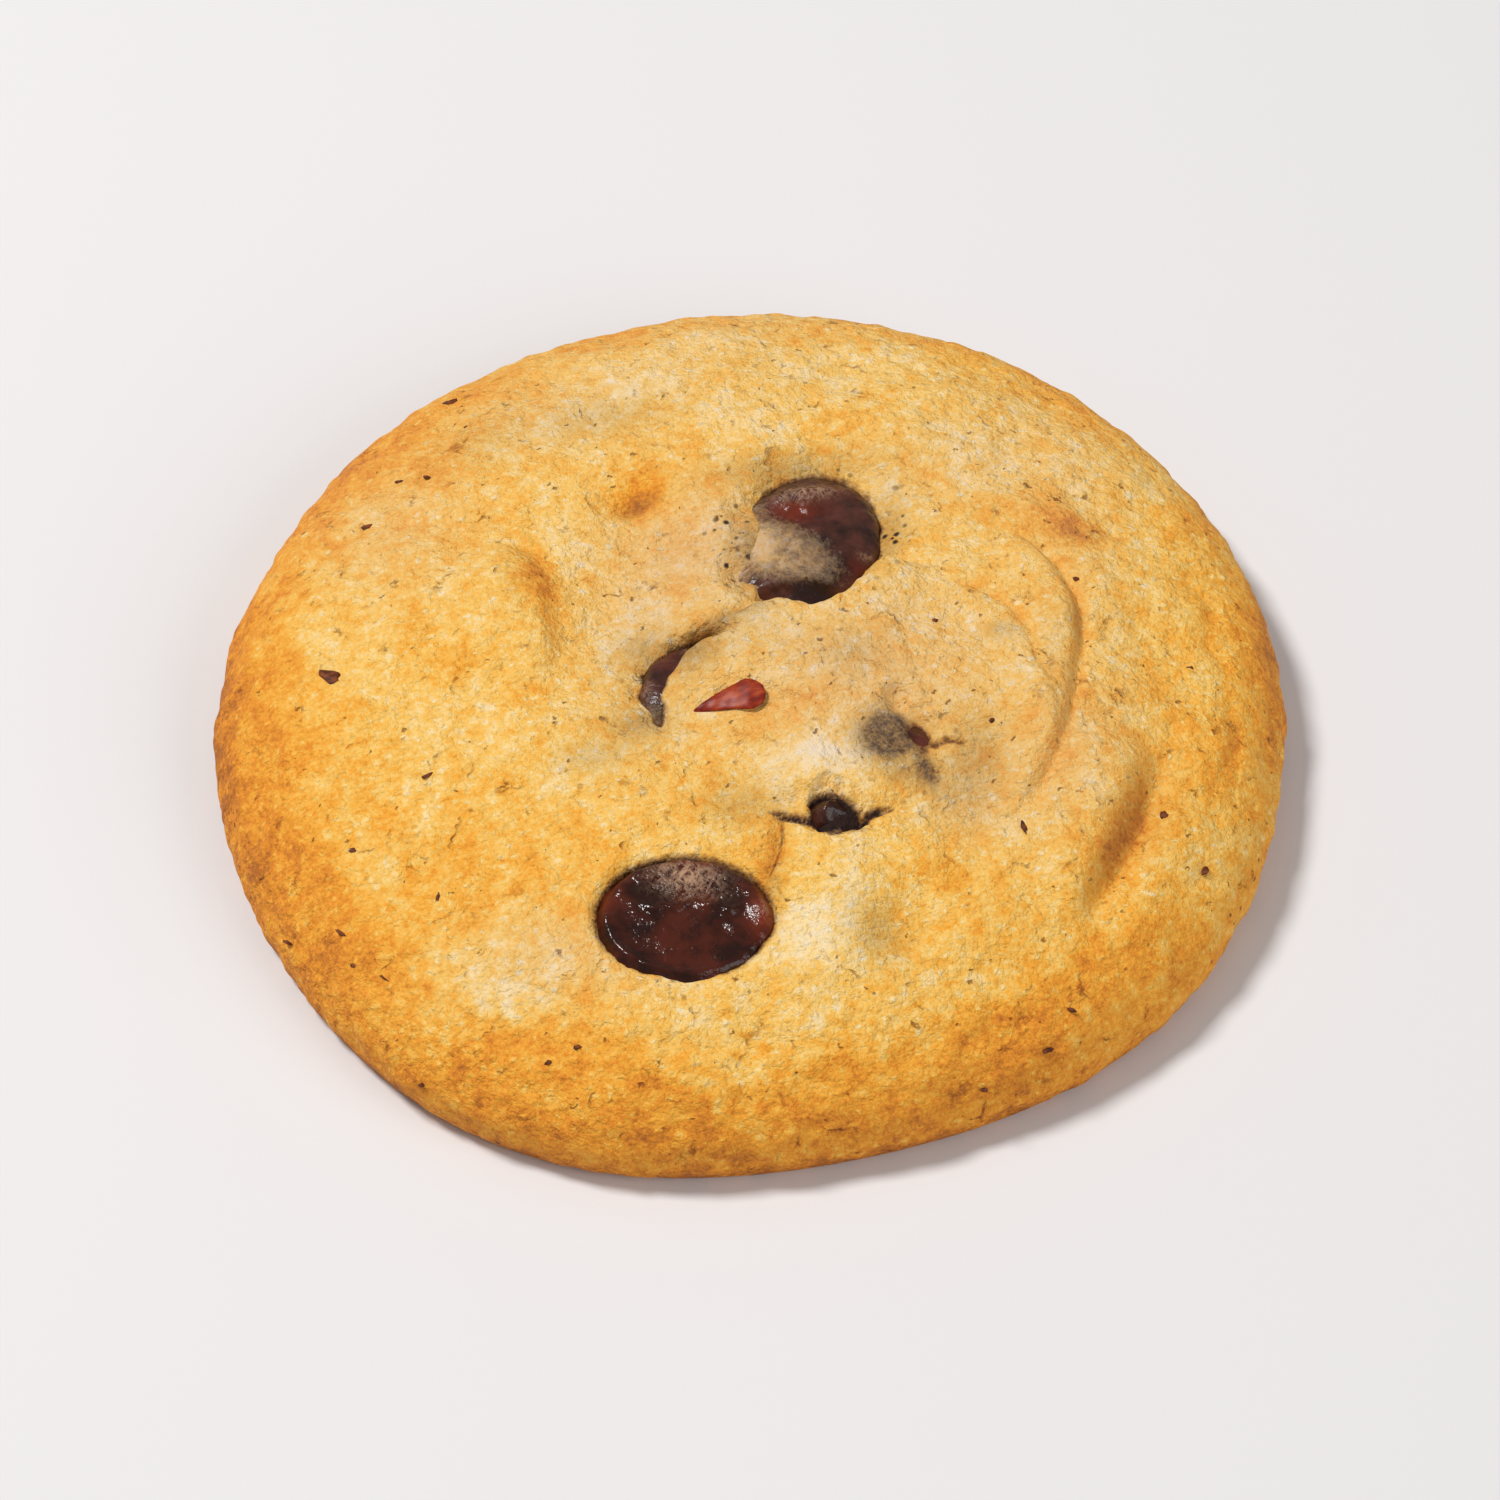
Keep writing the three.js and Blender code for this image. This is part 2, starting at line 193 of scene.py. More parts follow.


# Chocolate: half widths and half height, turn and tilts in degrees, and how square the edge is.
# opening is the oval in which the dough is open over it: middle x, y, half widths, turn. wobble is how
# ragged its edge is. covers are ovals in which dough lies over the chip all the same. wall is how steeply
# the dough meets the chip, and round the cliffs it meets it at CLIFF. blends are where the opening's edge
# isn't darkened, and where the film runs over into the dough.
# films are ovals in which a thin film of dough clings to the chocolate, and bare is where it doesn't.
# red and bloom are redder and paler patches: an oval and an amount each. The back chip's paler
# patches, on its ridge and at its right edge, are a painted highlight; the coin's at its top is the
# chocolate's own paler colour.
CHIPS = {
    "coin": chip_values(
        half=(7, 5.9, 2.2), tilt=(8, 0), power=3.6,
        opening=(-5.2, -26.9, 6.8, 5.45, 0), wall=1.2, wobble=0.03,
        red=((1, -26.6, 1.1, 2, 0, 1), (-3.6, -21.9, 3.2, 0.7, 0, 0.6),
             (-11.4, -25.4, 0.9, 2.4, -15, 0.4)),
        bloom=((-5, -23.5, 2.3, 1.5, -12, 1.4), (0.9, -26.6, 0.6, 0.9, 0, 0.5)),
    ),
    "chip_back": chip_values(
        half=(7.9, 5.9, 2.5), turn=73, tilt=(0, 2), power=3,
        opening=(4.8, 11.7, 7.7, 5.6, 73), covers=((-3.6, 12.2, 4.6, 5.6, 0),), wall=0.45, wobble=0.1,
        cliffs=((5.5, 4.5, 6.5, 3.6, 25),), bare=((3.6, 4.3, 5, 2.5, 10),),
        blends=((0.6, 10, 2, 3.6, 0), (-1.8, 10, 2.6, 4, -12)),
        films=((2.2, 10.3, 5.6, 3.1, -35), (-1.4, 11.2, 5.2, 3, 74)),
        red=((3.8, 14.6, 2.4, 1.5, 10, 0.7), (7.5, 17.2, 2, 0.8, -20, 0.4),
             (9, 8.6, 1.2, 1.2, 0, 0.4)),
        # Painted highlight on the ridge and at the right edge.
        bloom=((4.6, 16.6, 2.4, 0.75, 8, 1.2), (9.4, 10, 0.7, 0.35, 20, 0.8)),
    ),
    "chip_left": chip_values(
        half=(5, 4.8, 2.3), power=3,
        opening=(-4.1, -4, 4.7, 4.6, 0), covers=((4.9, -9.1, 12.2, 12.2, 0),), wall=0.5, wobble=0.2,
        cliffs=((0.5, -4.5, 5.5, 7, 0),),
        films=((-7.6, -6.8, 1, 0.5, -50), (-3.4, 0.3, 1.4, 0.4, 10)),
        red=((-6.4, -1.2, 2, 1.2, 40, 0.3),), bloom=((-8.2, -4.4, 0.4, 1, 0, 0.6),),
    ),
    "chip_crack": chip_values(
        half=(2.6, 2.4, 2.5), power=2, opening=(6.1, -17.5, 2.3, 1.35, -14), wall=2.4, wobble=0.24,
    ),
    "chip_veiled": chip_values(
        half=(4.2, 3.8, 1.9), turn=-20, power=2.2,
        opening=(13.3, -10.3, 1.4, 0.5, -67), wall=1.2, wobble=0.16,
        red=((13.6, -10.9, 2, 2, 0, 0.3),),
    ),
}
SKIN = 0.2  # dough over a chip where it is covered
CLIFF = 2.6
OPEN_DEPTH = 0.9  # how far the dough goes down beside a chip
FACE_EDGE = 0.97  # share of the half widths beyond which a chip's face is taken as level

# The red flake: its tips, its half width and thickness, how far it bends sideways, where along it from 0
# to 1 the head's round begins, and how far it lies above the dough at its tail and its head.
FLAKE = dict(
    tail=(-4.5, -7.4), head=(1.2, -6.4), half_width=1.4, thickness=0.5, bend=0.25, round_from=0.72,
    above=(0.18, 0.43),
)

# The coin's face: middle x, y and half widths, and the knobs on its rim, each by its angle and height.
COIN_FACE = (-5.2, -27.1, 7.0, 5.9)
RIM_KNOBS = ((128, 0.16), (143, 0.12), (181, 0.22), (60, 0.1))
# The back chip's face: a ridge, a hollow and three knobs.
BACK_FACE = (
    (4.6, 16.6, 3.0, 0.7, 10, 0.35),
    (3.8, 14.4, 2.4, 1.2, 10, -0.5),
    (3.3, 15.0, 0.4, 0.22, 20, 0.3),
    (4.7, 14.8, 0.4, 0.2, -20, 0.3),
    (4.2, 13.9, 0.3, 0.2, 0, 0.25),
)

# Where the dough is speckled black: middle x, y, half widths, turn, amount.
SPECKLED = {
    "left of the back chip": (-1.2, 11.5, 2.6, 5, -10, 0.9),
    "right of the back chip": (11.4, 12, 1.5, 5.5, -8, 0.9),
    "behind the back chip": (5.5, 19.6, 5, 1.2, 0, 0.5),
    "round the veiled chip": (13, -12, 4, 4, 0, 0.5),
    "left of the left chip": (-9.6, -2, 1.4, 5, 20, 0.3),
    "front of the coin": (-4, -33.2, 7, 1.2, 0, 0.4),
}

# Small dark bits and pits: middle x, y, half length, half width, turn.
FLECKS = (
    (-33.1, -1.9, 0.95, 0.65, -40),
    (-24.6, 31, 0.75, 0.3, 25),
    (32.3, -15.3, 0.4, 0.36, 0),
    (21.1, -18.6, 0.55, 0.2, 100),
    (26.2, 7.5, 0.26, 0.2, 0),
    (35, -0.4, 0.38, 0.32, 0),
    (-28.4, -29.8, 0.6, 0.17, -42),
    (-30.7, -28.3, 0.3, 0.18, -30),
    (-31.8, -25.6, 0.5, 0.14, -40),
    (-36.1, -24, 0.45, 0.16, -35),
    (-24.2, -24.2, 0.45, 0.17, 80),
    (-31, -18.8, 0.3, 0.22, 0),
    (-25.3, -12.9, 0.5, 0.16, 30),
    (-13.4, -37.5, 0.3, 0.17, 20),
    (-15.6, -38.4, 0.3, 0.2, 30),
    (-25.4, -37.6, 0.26, 0.18, 0),
    (22.5, -35.9, 0.45, 0.2, 25),
    (17.6, -39, 0.3, 0.2, 0),
    (24.4, -33, 0.35, 0.18, -20),
    (35.3, -19.5, 0.4, 0.28, 60),
    (18.9, -8.6, 0.25, 0.18, 60),
    (14.7, 1.9, 0.25, 0.2, 0),
    (13.1, -29.2, 0.26, 0.18, 80),
    (-31, 15.2, 0.4, 0.2, 10),
    (-28.4, 20.4, 0.5, 0.16, 5),
    (-26.2, 20.2, 0.3, 0.16, -10),
    (-23, 26.4, 0.4, 0.18, 15),
)

# Where the dough is browner or paler than the rest: middle x, y, half widths, turn, amount. Of the
# darker ones, the slope and foot of the left lobe, the valley, the outer crease and the crease of the
# lower lobe are painted shade, and the dimple is its own darker colour with painted shade; the paler
# right rim is painted light.
BLUSHES_AND_SHADE = {
    "pale lobe": (5.3, -12.4, 3.4, 2.6, 0, -0.34),
    "lower lobe": (6, -25, 6, 4, 60, -0.16),
    "crease of the lower lobe": (1.4, -23, 1.2, 3.8, -6, 0.16),
    "right of the coin": (4.5, -30, 2.6, 5.5, -10, -0.12),
    "front left": (-20, -33, 4.5, 2.6, -20, -0.16),
    "in front of the coin": (-13.5, -35, 2.4, 1.6, 0, 0.12),
    "back": (2, 33, 20, 6, 0, -0.06),
    "left orange": (-35, -8.5, 2.6, 2.4, 0, 0.2),
    "left edge": (-42.5, 0, 2.6, 10, 0, 0.16),
    "left spot": (-22.4, -2.3, 1.4, 1.4, 0, 0.12),
    "left rim": (-36, 6.5, 2, 2, 0, 0.12),
    "slope of the left lobe": (-17.2, 7, 1.6, 2.4, 0, 0.3),
    "front left middle": (-22, -22, 9, 5, 0, 0.14),
    "left of the mound": (-4, -16, 5, 4, 0, 0.06),
    "left middle": (-31, -10, 5, 8, 0, 0.07),
    "back left middle": (-16, 25, 4, 4, 0, -0.08),
    "foot of the left lobe": (-16.2, 2.5, 1.2, 3.5, 8, 0.1),
    "dimple": (-8.8, 16.6, 2.3, 1.6, 30, 0.5),
    "behind the dimple": (-7.6, 19.5, 2.4, 2.2, 0, 0.14),
    "back left": (-24, 22.5, 5, 3.4, 30, 0.22),
    "left": (-26, 8, 5, 6, 0, 0.05),
    "right": (32, -6, 4, 8, 0, 0.13),
    "front of the valley": (24, -26, 5, 4, 0, 0.07),
    "right edge": (41.5, 6, 2.6, 9, 0, 0.2),
    "right yellow": (33, 8, 3, 4, 0, 0.06),
    "right flank": (28.5, 2, 2.4, 5, 0, -0.07),
    "back right edge": (26, 31, 8, 4, -40, 0.1),
    "back left rim": (-31, 26, 10, 3, 40, 0.12),
    "bruise": (25.2, 13.8, 4.4, 2, -18, 0.34),
    "valley": (28.7, -18.4, 1.2, 5.5, -24, 0.3),
    "outer crease": (25.8, 2.8, 0.8, 3, 0, 0.14),
    "right of the lower lobe": (14, -23, 2.8, 2.6, 0, 0.18),
    "hollow of the lower lobe": (11, -28, 1.6, 1.8, 0, 0.08),
    "front": (0, -42, 18, 3.4, -3, 0.07),
    "front gold": (-2, -37, 9, 2.6, 0, -0.11),
    "front pale": (-14, -30, 5, 3, 0, -0.06),
    "front right": (18, -36, 10, 3.5, 25, 0.09),
    "right rim": (36, -20, 3.5, 7, -25, -0.14),
    "front left rim": (-30, -28, 9, 3, -48, -0.02),
    "front left spot": (-32, -27.5, 1.6, 1.2, -40, 0.05),
    "left of the coin": (-13, -27, 2, 3.5, 10, 0.1),
    "mound": (9, 2, 8, 3, 0, -0.07),
    "right of the mound": (17, -4, 5, 5, 0, -0.05),
    "centre basin": (-11, 3, 4, 7, 0, -0.12),
    "behind the middle": (-5, 27, 6, 3, 0, -0.11),
    "back right": (25, 22, 7, 5, 0, -0.07),
}
# Where it is sandy and dull.
SANDY = {
    "mound": (9, -5, 13, 9, 10, 0.75),
    "mound back": (14, 4, 9, 5, 0, 0.15),
    "back right": (24, 24, 9, 9, 0, 0.25),
    "front": (-14, -30, 8, 4, 0, 0.5),
    "back left": (-19, 27, 8, 8, 0, 0.25),
    "left of the back chip": (-4, 11, 7, 7, 0, 0.8),
    "dimple": (-8.6, 17, 2.2, 1.8, 30, -0.5),
    "right of the back chip": (15, 18, 10, 7, 0, 0.3),
    "by the valley": (25, -12, 5, 8, -20, 0.5),
    "back": (-8, 30, 16, 8, 0, 0.25),
    "back rim": (0, 40, 20, 5, 0, 0.3),
    "middle": (-9, 2, 7, 11, 0, 0.3),
    "left of the back": (-29, 15, 7, 9, 20, 0.5),
    "right": (26, 10, 5, 9, 0, 0.3),
    "right of the crack": (17, -16, 4, 4, 0, 0.4),
}
# Where the dough is greyed: round the chips by chocolate that shows grey through it, and elsewhere
# by painted shade in creases, hollows and on slopes turned from the light, such as the outer crease,
# the valley, the dimple, the slope of the left lobe, between the lips and the middle of the mound.
STAINS_AND_SHADE = {
    "veiled chip": (10.7, -10.5, 1.9, 2.1, -30, 2.2),
    "veiled chip's edge": (13.6, -13.3, 0.7, 1.9, 20, 1),
    "in front of the veiled chip": (12.2, -14.2, 2, 1, 0, 0.4),
    "right of the mound": (17.5, -12, 2.4, 4, -10, 0.34),
    "left of the back chip": (0.2, 10, 1.8, 4.2, 5, 0.6),
    "behind the back chip": (3.5, 19.5, 5.5, 1.8, 10, 0.45),
    "right of the back chip": (11, 12.5, 1.6, 4.5, -8, 0.4),
    "left chip": (-4.6, -1.6, 2.2, 2, 40, 0.6),
    "left chip's tail": (-8.8, -8.4, 2.4, 1.8, 0, 0.4),
    "mound's corner": (-1.2, 1.8, 3, 1, 15, 0.55),
    "left": (-12.4, -11.8, 2.8, 1.8, 0, 0.26),
    "behind the left chip": (-8.4, 0.2, 2.2, 1.8, 30, 0.28),
    "dimple": (-8.9, 16, 1.6, 0.7, 25, 0.42),
    "middle of the mound": (8, -2.5, 3.2, 2.6, 0, 0.18),
    "outer crease": (25.8, 2.6, 0.6, 2.8, 0, 0.3),
    "valley": (28.8, -18, 0.8, 6, -24, 0.3),
    "lower lobe": (9.6, -28.6, 2.2, 2.8, 20, 0.32),
    "back": (-12, 26, 5.5, 2.4, 10, 0.22),
    "back left": (-22, 24, 4, 3, 30, 0.12),
    "slope of the left lobe": (-18.3, 7, 1.4, 3, 0, 0.14),
    "left of the crack": (-0.6, -16.8, 3.2, 2.2, 0, 0.3),
    "right of the crack": (16, -16.5, 3, 3, 0, 0.1),
    "crease of the lower lobe": (1.6, -23, 1, 3.6, -6, 0.22),
    "behind the basin": (-8.5, -2.5, 3.5, 7, 0, 0.15),
    "back slope of the mound": (0, 0, 3, 3, 0, 0.14),
    "between the lips": (24.2, -2, 1.4, 6, 0, 0.12),
    "rim by the valley": (32, -16, 2.5, 4, -20, 0.1),
    "pink spot": (19.9, 0.9, 1.3, 1.1, 0, 0.3),
    "right": (26.5, 12.5, 1.5, 1, 0, 0.2),
}

# The numbers that the dough holds at its vertices, beside how brown it is and how deep inside an
# opening: grey from chocolate with painted shade, black specks, and sand.
MARKS = {"stain_and_shade": STAINS_AND_SHADE, "speckled": SPECKLED, "sand": SANDY}

# The dough's colours from raw to brown.
BAKED_COLOURS = (
    (0.0, (241, 222, 188)),
    (0.2, (244, 213, 152)),
    (0.4, (241, 193, 97)),
    (0.6, (238, 167, 54)),
    (0.78, (225, 140, 36)),
    (1.0, (176, 102, 34)),
)

# Lamps: place in metres, width, power and colour. The camera's place is in millimetres.
LIGHTS = (
    ("key", (-0.55, 0.16, 0.95), 0.28, 10.2, (1.0, 0.985, 0.965)),
    ("fill", (0.75, -0.6, 0.55), 0.8, 4.2, (1.0, 1.0, 1.0)),
)
ROOM_LIGHT = 0.305
CAMERA_AT = (-2.46, -340.4, 392.65)
LENS = 154.3


def smoothstep(low, high, value):
    """Eased step from 0 at low to 1 at high; low may be above high."""
    t = np.clip((value - low) / (high - low), 0.0, 1.0)
    return t * t * (3.0 - 2.0 * t)


def compass(turn):
    """Cosine and sine of an angle in degrees."""
    return math.cos(math.radians(turn)), math.sin(math.radians(turn))


def in_oval(x, y, cx, cy, along, across, turn):
    """Distance from an oval's middle in its own half widths: 1 on the oval."""
    c, s = compass(turn)
    u = ((x - cx) * c + (y - cy) * s) / along
    v = ((y - cy) * c - (x - cx) * s) / across
    return np.hypot(u, v)


def bell(x, y, cx, cy, along, across, turn, height):
    """A bell over an oval: the height times e to the minus distance squared."""
    return height * np.exp(-in_oval(x, y, cx, cy, along, across, turn) ** 2)


def bells(x, y, ovals, *height):
    """The sum of a bell over each oval, with the height given here if the ovals hold none."""
    return sum((bell(x, y, *oval, *height) for oval in ovals), np.zeros(np.shape(x)))


def oval_depth(x, y, oval):
    """How far inside an oval a place is, in millimetres; less than 0 outside it."""
    return (1.0 - in_oval(x, y, *oval)) * min(oval[2], oval[3])


def deepest(x, y, ovals):
    """How far inside the nearest of several ovals a place is, in millimetres."""
    depth = np.full(np.shape(x), FAR_OUTSIDE)
    for oval in ovals:
        depth = np.maximum(depth, oval_depth(x, y, oval))
    return depth


def grain(places, wavelength, seed, waves=40):
    """Even random field with spread 1: plane waves of about one length, crossing in every direction."""
    draw = np.random.default_rng(seed)
    headings = draw.normal(size=(waves, 3))
    headings /= np.linalg.norm(headings, axis=1, keepdims=True)
    lengths = wavelength * draw.uniform(0.75, 1.35, waves)
    phases = draw.uniform(0.0, 2.0 * math.pi, waves)
    swing = places @ (2.0 * math.pi * headings / lengths[:, None]).T + phases
    return np.cos(swing).sum(axis=-1) * math.sqrt(2.0 / waves)


def grains(places, layers):
    """The sum of random fields, each given by its wavelength, height and seed."""
    return sum(height * grain(places, wavelength, seed) for wavelength, height, seed in layers)


def smooth_line(points):
    """Catmull-Rom curve through the points, as FOLD_STEPS straight steps."""
    p = np.array(points, float)
    p = np.vstack([2 * p[0] - p[1], p, 2 * p[-1] - p[-2]])
    t = np.linspace(0.0, len(points) - 1.0, FOLD_STEPS + 1)
    i = np.minimum(t.astype(int), len(points) - 2)
    f = (t - i)[:, None]
    a, b, c, d = p[i], p[i + 1], p[i + 2], p[i + 3]
    square, cube = 2 * a - 5 * b + 4 * c - d, 3 * b - a - 3 * c + d
    return 0.5 * (2 * b + (c - a) * f + square * f**2 + cube * f**3)


def beside(x, y, line):
    """Signed distance from a line of short steps, positive on its left, the place along it from 0 to 1,
    and the unit direction from the line's left to its right."""
    away = np.full(np.shape(x), np.inf)
    side, place = np.ones_like(away), np.zeros_like(away)
    out_x, out_y = np.zeros_like(away), np.zeros_like(away)
    for k, (a, b) in enumerate(zip(line[:-1], line[1:])):
        step = b - a
        t = np.clip(((x - a[0]) * step[0] + (y - a[1]) * step[1]) / (step @ step), 0.0, 1.0)
        gap = np.hypot(x - a[0] - t * step[0], y - a[1] - t * step[1])
        nearer = gap < away
        cross = step[0] * (y - a[1]) - step[1] * (x - a[0])
        away = np.where(nearer, gap, away)
        side = np.where(nearer, np.where(cross < 0, -1.0, 1.0), side)
        place = np.where(nearer, (k + t) / (len(line) - 1), place)
        length = math.hypot(*step)
        out_x = np.where(nearer, step[1] / length, out_x)
        out_y = np.where(nearer, -step[0] / length, out_y)
    return side * away, place, out_x, out_y


def outline_radius(angle):
    """The rim's radius at an angle: the plain radius with a few waves round it."""
    waves = sum(c * np.cos(n * angle) + s * np.sin(n * angle) for n, c, s in OUTLINE)
    return RADIUS * (1.0 + waves)


def side_profile():
    """Crown, side and tuck as one line from the middle of the top to the edge of the underside: a
    superellipse and then a quarter ellipse. Returns its length from the start, from 0 to 1, the share of
    the radius and the height."""
    turn = np.linspace(0.0, math.pi / 2, PROFILE_STEPS)
    crown = WIDEST_AT + (HEIGHT - WIDEST_AT) * np.cos(turn)
    crown_share = np.sin(turn) ** (2.0 / CROWN_POWER)
    share = np.concatenate([crown_share, 1.0 - TUCK / RADIUS * (1.0 - np.cos(turn[1:]))])
    height = np.concatenate([crown, WIDEST_AT * (1.0 - np.sin(turn[1:]))])
    length = np.concatenate([[0.0], np.cumsum(np.hypot(RADIUS * np.diff(share), np.diff(height)))])
    return length / length[-1], share, height


def round_grid(cells):
    """A square grid drawn out to a disc, with its square rings as circles: the place from middle to rim,
    from 0 to 1, and the angle."""
    side = np.linspace(-1.0, 1.0, cells + 1)
    a, b = np.meshgrid(side, side, indexing="ij")
    wide = np.abs(a) >= np.abs(b)
    share = np.where(wide, np.abs(a), np.abs(b))
    with np.errstate(divide="ignore", invalid="ignore"):
        angle = np.where(wide, math.pi / 4 * b / a, math.pi / 2 - math.pi / 4 * a / b)
    angle = np.where(np.where(wide, a < 0, b < 0), angle + math.pi, angle)
    return share, np.where(share == 0, 0.0, angle)


def relief(x, y):
    """Swells, folds and lumps of the top, as one height, how far the fold edges are pushed out in x and
    y, how toasted their low sides are, which is partly painted shade, and how far inside a gap each place
    is, where its shadow is painted dark."""
    height = bells(x, y, SWELLS.values())
    push_x, push_y, toast = np.zeros_like(x), np.zeros_like(x), np.zeros_like(x)
    gap = np.full(np.shape(x), FAR_OUTSIDE)
    for fold in FOLDS.values():
        far, place, out_x, out_y = beside(x, y, smooth_line(fold["line"]))
        ends = smoothstep(0.0, FOLD_TAPER, place) * smoothstep(1.0, 1.0 - FOLD_TAPER, place)
        edge = fold["edge"]
        rise = smoothstep(-edge / 2, edge / 2, far)
        lift = fold["lift"] * rise * np.exp(-((np.maximum(far, 0.0) / fold["reach"]) ** 2))
        height = height + ends * (lift - fold["groove"] * np.exp(-((far / fold["width"]) ** 2)))
        push = ends * fold["roll"] * np.exp(-(((far - edge * 0.4) / edge) ** 2))
        push_x, push_y = push_x + push * out_x, push_y + push * out_y
        toast = toast + ends * fold["toast"] * np.exp(-(((far + 0.15 * edge) / (0.8 * edge)) ** 2))
        gap = np.maximum(gap, fold["slit"] - np.abs(far) - 0.6 * (1.0 - ends))
    for heading, wavelength, lump, phase in LUMPS:
        c, s = compass(heading)
        height = height + lump * np.sin(2.0 * math.pi * (x * c + y * s) / wavelength + phase)
    return height, push_x, push_y, toast, gap


def crown_height(x, y):
    """The plain crown: above its widest line a superellipse of the share of the radius."""
    share = np.minimum(np.hypot(x, y) / outline_radius(np.arctan2(y, x)), 1.0)
    return WIDEST_AT + (HEIGHT - WIDEST_AT) * np.sqrt(1.0 - share**CROWN_POWER)


def ground_height(x, y):
    """The dough's top without its chips, for small things that lie on it."""
    return crown_height(x, y) + relief(x, y)[0]


def chip_middle(name):
    """The middle of a chip's solid."""
    low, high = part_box(name)
    return np.array([(a + b) / 2 for a, b in zip(low, high)]) / MM


def chip_face(name, x, y):
    """Height of a chip's upper face: a superellipse over its oval, tilted, and carried on level past its
    edge. Also the distance from its middle in half widths."""
    chip = CHIPS[name]
    cx, cy, cz = chip_middle(name)
    lean_y, lean_x = (math.tan(math.radians(angle)) for angle in chip["tilt"])
    reach = in_oval(x, y, cx, cy, chip["half"][0], chip["half"][1], chip["turn"])
    near = np.minimum(reach, FACE_EDGE)
    face = chip["half"][2] * (1.0 - near ** chip["power"]) ** (1.0 / chip["power"])
    return cz + face + ((y - cy) * lean_y - (x - cx) * lean_x), reach


def dough_top(x, y):
    """Height of the dough's top, the push of its folds, how toasted they are, which is partly painted
    shade, and how far inside the nearest opening or gap each place is, where shadow is painted dark. Over
    a chip the dough is a thin skin; at an opening it runs down through the chip's face."""
    rise, push_x, push_y, toast, inside_any = relief(x, y)
    height = crown_height(x, y) + rise
    wobble = grains(np.stack([x, y, np.zeros_like(x)], axis=-1), RAGGED_OPENINGS)
    for name, chip in CHIPS.items():
        inside = np.minimum(oval_depth(x, y, chip["opening"]), -deepest(x, y, chip["covers"]))
        inside = inside + chip["wobble"] * wobble
        face, reach = chip_face(name, x, y)
        height = height + np.maximum(face + SKIN - height, 0.0) * smoothstep(1.55, 0.95, reach)
        steep = np.clip(1.6 * bells(x, y, chip["cliffs"], 1.0), 0.0, 1.0)
        wall = np.where(inside > 0.0, CLIFF, chip["wall"] + (CLIFF - chip["wall"]) * steep)
        level = face - np.minimum(inside * wall, OPEN_DEPTH)
        height = height + smoothstep(-4.0, -1.2, inside) * (np.minimum(height, level) - height)
        inside_any = np.maximum(inside_any, inside - 1.6 * bells(x, y, chip["blends"], 1.0))
    return height, push_x, push_y, toast, inside_any


def bake_and_shade_share(x, y, share, height, places):
    """How brown the dough is from baking, from 0 pale to 1 brown, with painted shade in it: a band at the
    rim, strongest at the front and left, browner low on the side, with blushes and pale places, some of
    them painted shade and one painted light, and patches at random."""
    angle = np.arctan2(y, x)
    left = np.exp(2.2 * (np.cos(angle - math.radians(-160)) - 1.0))
    right = np.exp(4.0 * (np.cos(angle - math.radians(-45)) - 1.0))
    rim = smoothstep(0.8, 0.92, share) * (0.1 + 0.2 * left + 0.09 * right)
    # Browner low on the side by the floor: the foot's own browning, and partly painted contact shade.
    low = 0.18 * smoothstep(2.8, 0.4, height) * smoothstep(0.92, 1.0, share)
    low = low + 0.08 * smoothstep(0.93, 1.0, share)
    return 0.38 + rim + low + bells(x, y, BLUSHES_AND_SHADE.values()) + grains(places, BAKE_PATCHES)


def mesh_from(name, points, faces):
    """A smooth-shaded mesh object from points in millimetres and rows of corner numbers."""
    mesh = bpy.data.meshes.new(name)
    mesh.from_pydata((points * MM).tolist(), [], faces)
    mesh.shade_smooth()
    thing = bpy.data.objects.new(name, mesh)
    bpy.context.scene.collection.objects.link(thing)
    return thing


def note(thing, name, values):
    """Stores one number for each vertex under a name."""
    layer = thing.data.attributes.new(name, "FLOAT", "POINT")
    layer.data.foreach_set("value", np.asarray(values, np.float32).ravel())


def grid_faces(rows, columns):
    """Four-cornered faces of a grid of points, facing up where its first number runs to X and its second
    to Y."""
    i, j = np.meshgrid(np.arange(rows - 1), np.arange(columns - 1), indexing="ij")
    a = (i * columns + j).ravel()
    return np.stack([a, a + columns, a + columns + 1, a + 1], axis=1)


def closed_rings(rings, start, end):
    """Faces of rings of points, one ring to a row, closed by triangles to a start and an end point."""
    a, b = rings[:-1], rings[1:]
    first, last = rings[0], rings[-1]
    faces = np.stack([a, b, np.roll(b, -1, 1), np.roll(a, -1, 1)], axis=-1).reshape(-1, 4).tolist()
    faces += np.stack([np.full(len(first), start), first, np.roll(first, -1)], axis=1).tolist()
    faces += np.stack([np.full(len(last), end), np.roll(last, -1), last], axis=1).tolist()
    return faces


def sphere_angles(rows, columns):
    """Angles down from the pole and round it, for the rings of a sphere without its poles."""
    down = np.linspace(0.0, math.pi, rows + 1)[1:-1]
    return np.meshgrid(down, np.linspace(0.0, 2.0 * math.pi, columns + 1)[:-1], indexing="ij")


def surface_lumps(places, out):
    """How far each place of the dough's plain surface is pushed out: fine lumps, coarser on the rough
    patch, that fade at the underside, and a slight hollow where the side is steep."""
    lumps = grains(places, FINE_LUMPS)
    lumps = lumps + grains(places, (ROUGH_LUMPS,)) * bell(places[..., 0], places[..., 1], *ROUGH_PATCH)
    return lumps * smoothstep(0.0, 1.2, places[..., 2]) - 0.2 * smoothstep(0.3, 0.9, out)


